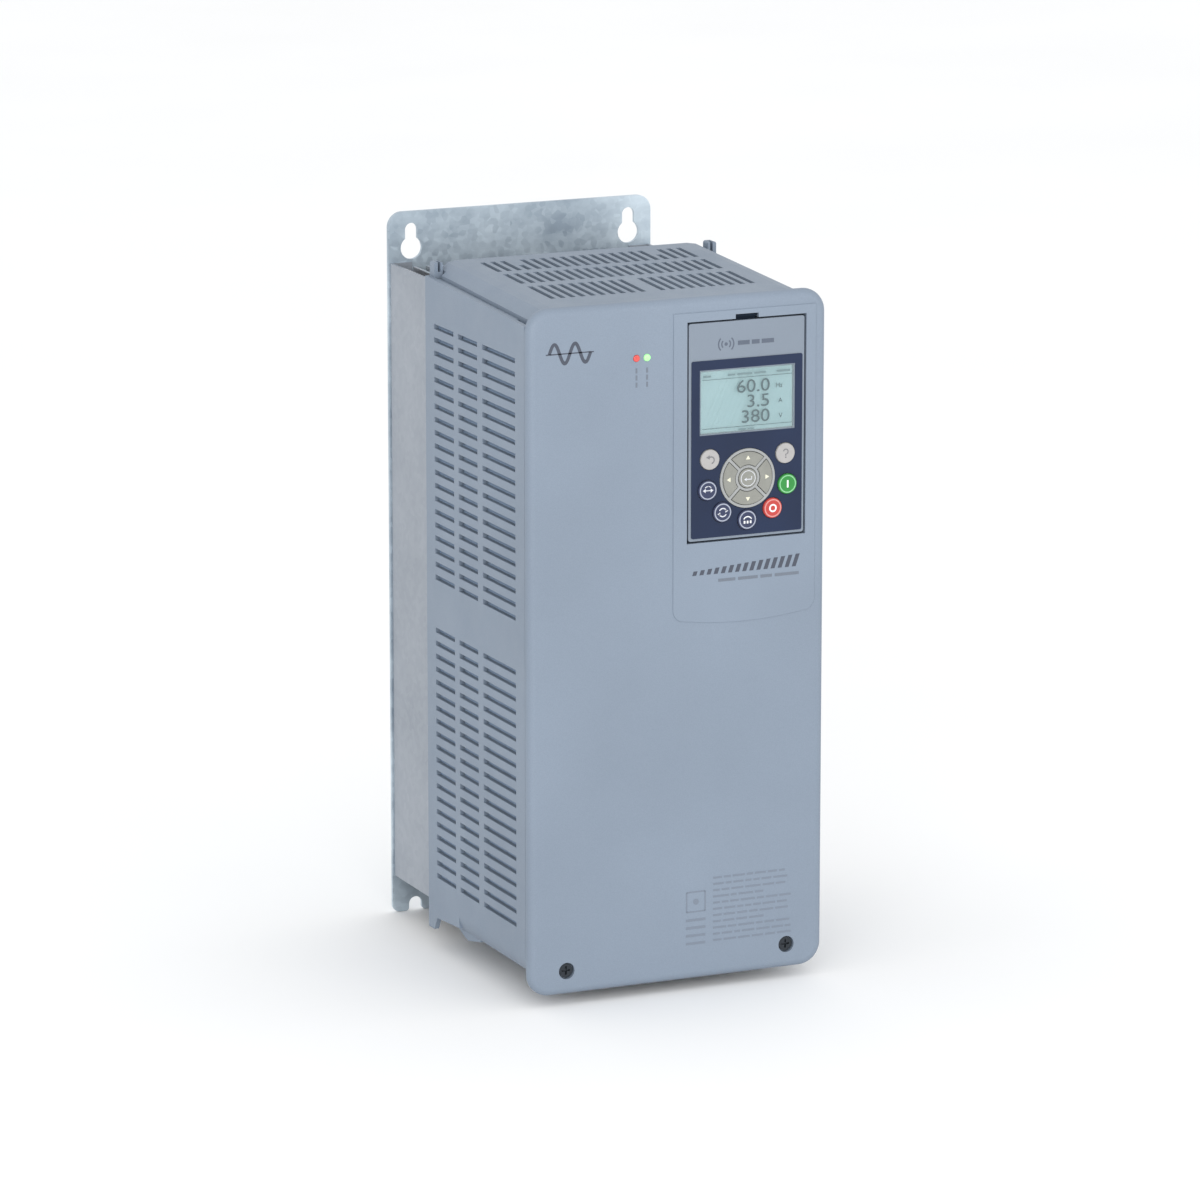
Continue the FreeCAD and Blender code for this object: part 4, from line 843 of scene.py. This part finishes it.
def display_readout():
    """Plain figures and their units on the display, with a line above and below."""
    ink = printed("display_ink", (0.085, 0.125, 0.135))
    low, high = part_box("lcd_window")
    front = low.y - INK
    right = high.x - FIGURE_INSET
    for number, (figures, unit, base) in enumerate(FIGURES):
        lettering(f"readout_{number}", figures, FIGURE_SIZE, right, base * MM, front, ink,
                  FIGURE_WIDEN)
        lettering(f"readout_unit_{number}", unit, UNIT_SIZE, right + UNIT_ASIDE,
                  base * MM + UNIT_RAISE, front, ink)

    def frame_lines(shape):
        for z in FRAME_LEVELS:
            bar(shape, low.x + FRAME_INSET, high.x - FRAME_INSET, (z - FRAME_HALF_LINE) * MM,
                (z + FRAME_HALF_LINE) * MM, front, INK)

    def status_words(shape):
        for foot, top, words in STATUS_ROWS:
            for start, end in words:
                bar(shape, start * MM, end * MM, foot * MM, top * MM, front, INK)

    pale_ink = printed("display_ink_pale", (0.15, 0.22, 0.235))
    piece("readout_lines", "keypad", ink, frame_lines)
    piece("readout_words", "keypad", pale_ink, status_words)


# Marks on the keys, whose symbols give their own points around (x, z).
RIM, RIM_LINE = 4.3 * MM, 0.6 * MM
ARROW_REACH, ARROW_SIZE = 10.4 * MM, 1.35 * MM
ARROW_KEYS = (("key_right", 0), ("key_up", 90), ("key_left", 180), ("key_down", 270))


def start_mark(shape, x, z, front):
    """An upright bar."""
    bar(shape, x - 0.45 * MM, x + 0.45 * MM, z - 1.9 * MM, z + 1.9 * MM, front, INK)


def stop_mark(shape, x, z, front):
    """A circle."""
    ring(shape, x, z, 1.7 * MM, 0.8 * MM, front, INK)


def back_mark(shape, x, z, front):
    """An arrow that turns back to the left."""
    ribbon(shape, arc_path(x + 0.4 * MM, z - 0.2 * MM, 1.7 * MM, -80, 120, 14), 0.6 * MM,
           front, INK)
    outline(shape, [(x - 2.4 * MM, z + 1.3 * MM), (x - 0.4 * MM, z + 0.2 * MM),
                    (x - 0.4 * MM, z + 2.4 * MM)], front, INK)


def help_mark(shape, x, z, front):
    """A question mark, as an arc, a stem and a dot."""
    ribbon(shape, arc_path(x, z + 0.8 * MM, 1.3 * MM, 170, -70, 14), 0.55 * MM, front, INK)
    bar(shape, x - 0.28 * MM, x + 0.28 * MM, z - 1.3 * MM, z - 0.3 * MM, front, INK)
    disc(shape, x, z - 2.1 * MM, 0.4 * MM, front, INK, steps=12)


def local_mark(shape, x, z, front):
    """An arrow to each side, joined by a bar, under two short arcs."""
    for side in (-1, 1):
        outline(shape, [(x + side * 2.9 * MM, z), (x + side * 1.4 * MM, z + 1.1 * MM),
                        (x + side * 1.4 * MM, z - 1.1 * MM)], front, INK)
        ribbon(shape, arc_path(x, z, 2.2 * MM, 90 - side * 50, 90 + side * 5, 8), 0.45 * MM,
               front, INK)
    bar(shape, x - 1.4 * MM, x + 1.4 * MM, z - 0.22 * MM, z + 0.22 * MM, front, INK)


def direction_mark(shape, x, z, front):
    """Two arrows that chase each other around a circle."""
    reach, start, end = 2.1 * MM, 20, 150
    for turn in (0, 180):
        ribbon(shape, arc_path(x, z, reach, turn + start, turn + end, 12), 0.6 * MM, front, INK)
        tip = math.radians(turn + start)
        arrowhead(shape, x + reach * math.cos(tip), z + reach * math.sin(tip), 1.0 * MM, turn,
                  front, INK)


def jog_mark(shape, x, z, front):
    """Three short bars under an arc."""
    ribbon(shape, arc_path(x, z - 0.9 * MM, 2.5 * MM, 150, 30, 12), 0.55 * MM, front, INK)
    for step in (-1.7, 0.0, 1.7):
        bar(shape, x + (step - 0.45) * MM, x + (step + 0.45) * MM, z - 1.9 * MM, z - 0.5 * MM,
            front, INK)


def enter_mark(shape, x, z, front):
    """A ring around an arrow that drops and turns to the left."""
    ring(shape, x, z, 3.9 * MM, 0.35 * MM, front, INK)
    ribbon(shape, [(x + 1.9 * MM, z + 1.0 * MM), (x + 1.9 * MM, z - 0.5 * MM),
                   (x - 0.9 * MM, z - 0.5 * MM)], 0.5 * MM, front, INK)
    outline(shape, [(x - 2.2 * MM, z - 0.5 * MM), (x - 0.8 * MM, z - 1.4 * MM),
                    (x - 0.8 * MM, z + 0.4 * MM)], front, INK)


def key_faces():
    """Rings and plain symbols printed on the keys."""
    light = printed("key_print_light", (0.60, 0.62, 0.66))
    white = printed("key_print_white", (0.80, 0.82, 0.82))
    warm = printed("key_print_warm", (0.74, 0.72, 0.56))
    dark = printed("key_print_dark", (0.16, 0.16, 0.17))
    ring_light = printed("key_ring_light", (0.34, 0.37, 0.44))
    ring_green = printed("key_ring_green", (0.22, 0.52, 0.26))
    ring_red = printed("key_ring_red", (0.62, 0.26, 0.24))

    def on_key(label, body, material, draw):
        middle = centre_of(body)
        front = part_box(body)[0].y - INK
        piece(label, body, material,
              lambda shape: draw(shape, middle.x, middle.z, front))

    def rim_ring(shape, x, z, front):
        ring(shape, x, z, RIM, RIM_LINE, front, INK)

    for label, material in (("key_local", ring_light), ("key_direction", ring_light),
                            ("key_jog", ring_light), ("key_start", ring_green),
                            ("key_stop", ring_red)):
        on_key(label + "_ring", label, material, rim_ring)

    for label, material, draw in (
        ("key_start", white, start_mark), ("key_stop", white, stop_mark),
        ("key_back", dark, back_mark), ("key_help", dark, help_mark),
        ("key_local", light, local_mark), ("key_direction", light, direction_mark),
        ("key_jog", white, jog_mark),
    ):
        on_key(label + "_symbol", label, material, draw)

    hub = centre_of("key_enter")
    for label, angle in ARROW_KEYS:
        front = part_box(label)[0].y - INK
        x = hub.x + ARROW_REACH * math.cos(math.radians(angle))
        z = hub.z + ARROW_REACH * math.sin(math.radians(angle))
        piece(label + "_symbol", label, warm,
              lambda shape: arrowhead(shape, x, z, ARROW_SIZE, angle, front, INK))

    on_key("key_enter_symbol", "key_enter", light, enter_mark)


# --- studio ---------------------------------------------------------------------------------

AZIMUTH, ELEVATION, DISTANCE = -24.0, 12.8, 3.370
AIM = Vector((0.0021, -0.100, -0.0017))
FOCAL_LENGTH, SENSOR_WIDTH, SIGHT = 195.1, 36.0, 60.0
FLOOR_HALF, FLOOR_GAP = 14.0, 0.2 * MM
SURROUND, SURROUND_STRENGTH = (0.985, 0.993, 1.0), 1.06
LIT_SPOT = (0, -0.1, 0)


def look_at(thing, place, aim):
    """Put a camera or light at a place, turned towards aim."""
    thing.location = place
    thing.rotation_euler = (Vector(aim) - Vector(place)).to_track_quat("-Z", "Y").to_euler()


def camera():
    """The viewpoint: in front of the drive, to its left and a little above."""
    azimuth, elevation = math.radians(AZIMUTH), math.radians(ELEVATION)
    level = math.cos(elevation)
    away = Vector((math.sin(azimuth) * level, -math.cos(azimuth) * level, math.sin(elevation)))
    data = bpy.data.cameras.new("camera")
    data.lens = FOCAL_LENGTH
    data.sensor_width = SENSOR_WIDTH
    data.clip_end = SIGHT
    made = bpy.data.objects.new("camera", data)
    bpy.context.scene.collection.objects.link(made)
    look_at(made, AIM + away * DISTANCE, AIM)
    bpy.context.scene.camera = made


def area_light(name, place, size, power):
    """A soft rectangular light that faces the drive."""
    data = bpy.data.lights.new(name, "AREA")
    data.shape = "RECTANGLE"
    data.size, data.size_y = size
    data.energy = power
    made = bpy.data.objects.new(name, data)
    bpy.context.scene.collection.objects.link(made)
    look_at(made, place, LIT_SPOT)


def studio():
    """A pale floor under the drive, an even bright surround and two soft lights."""
    half = FLOOR_HALF
    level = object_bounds()[0].z - FLOOR_GAP
    mesh = bpy.data.meshes.new("floor")
    mesh.from_pydata([(-half, -half, level), (half, -half, level), (half, half, level),
                      (-half, half, level)], [], [(0, 1, 2, 3)])
    tree = Tree("floor_paint")
    tree.set(Base_Color=tree.two_tone(tree.noise(3.0), 0.92, 0.94), Roughness=0.8)
    mesh.materials.append(tree.material)
    floor = bpy.data.objects.new("floor", mesh)
    bpy.context.scene.collection.objects.link(floor)
    world = bpy.data.worlds.new("surround")
    world.use_nodes = True
    backdrop = world.node_tree.nodes["Background"]
    backdrop.inputs["Color"].default_value = shade(SURROUND)
    backdrop.inputs["Strength"].default_value = SURROUND_STRENGTH
    bpy.context.scene.world = world
    area_light("key_light", place=(-1.5, -3.0, 0.75), size=(2.4, 2.0), power=42)
    area_light("fill_light", place=(1.2, -3.2, 0.6), size=(2.0, 1.6), power=16)
    bpy.context.scene.view_settings.view_transform = "Standard"


camera()
finishes = make_finishes()
dress_nodes(finishes)
side_louvres(finishes["louvre"])
gutter_strips(finishes["housing_plastic"])
plate_rivets(finishes["rivet"])
closing_sheet(finishes["galvanised_duct"])
board_parts(finishes)
cover_prints()
keypad_prints()
display_readout()
key_faces()
studio()
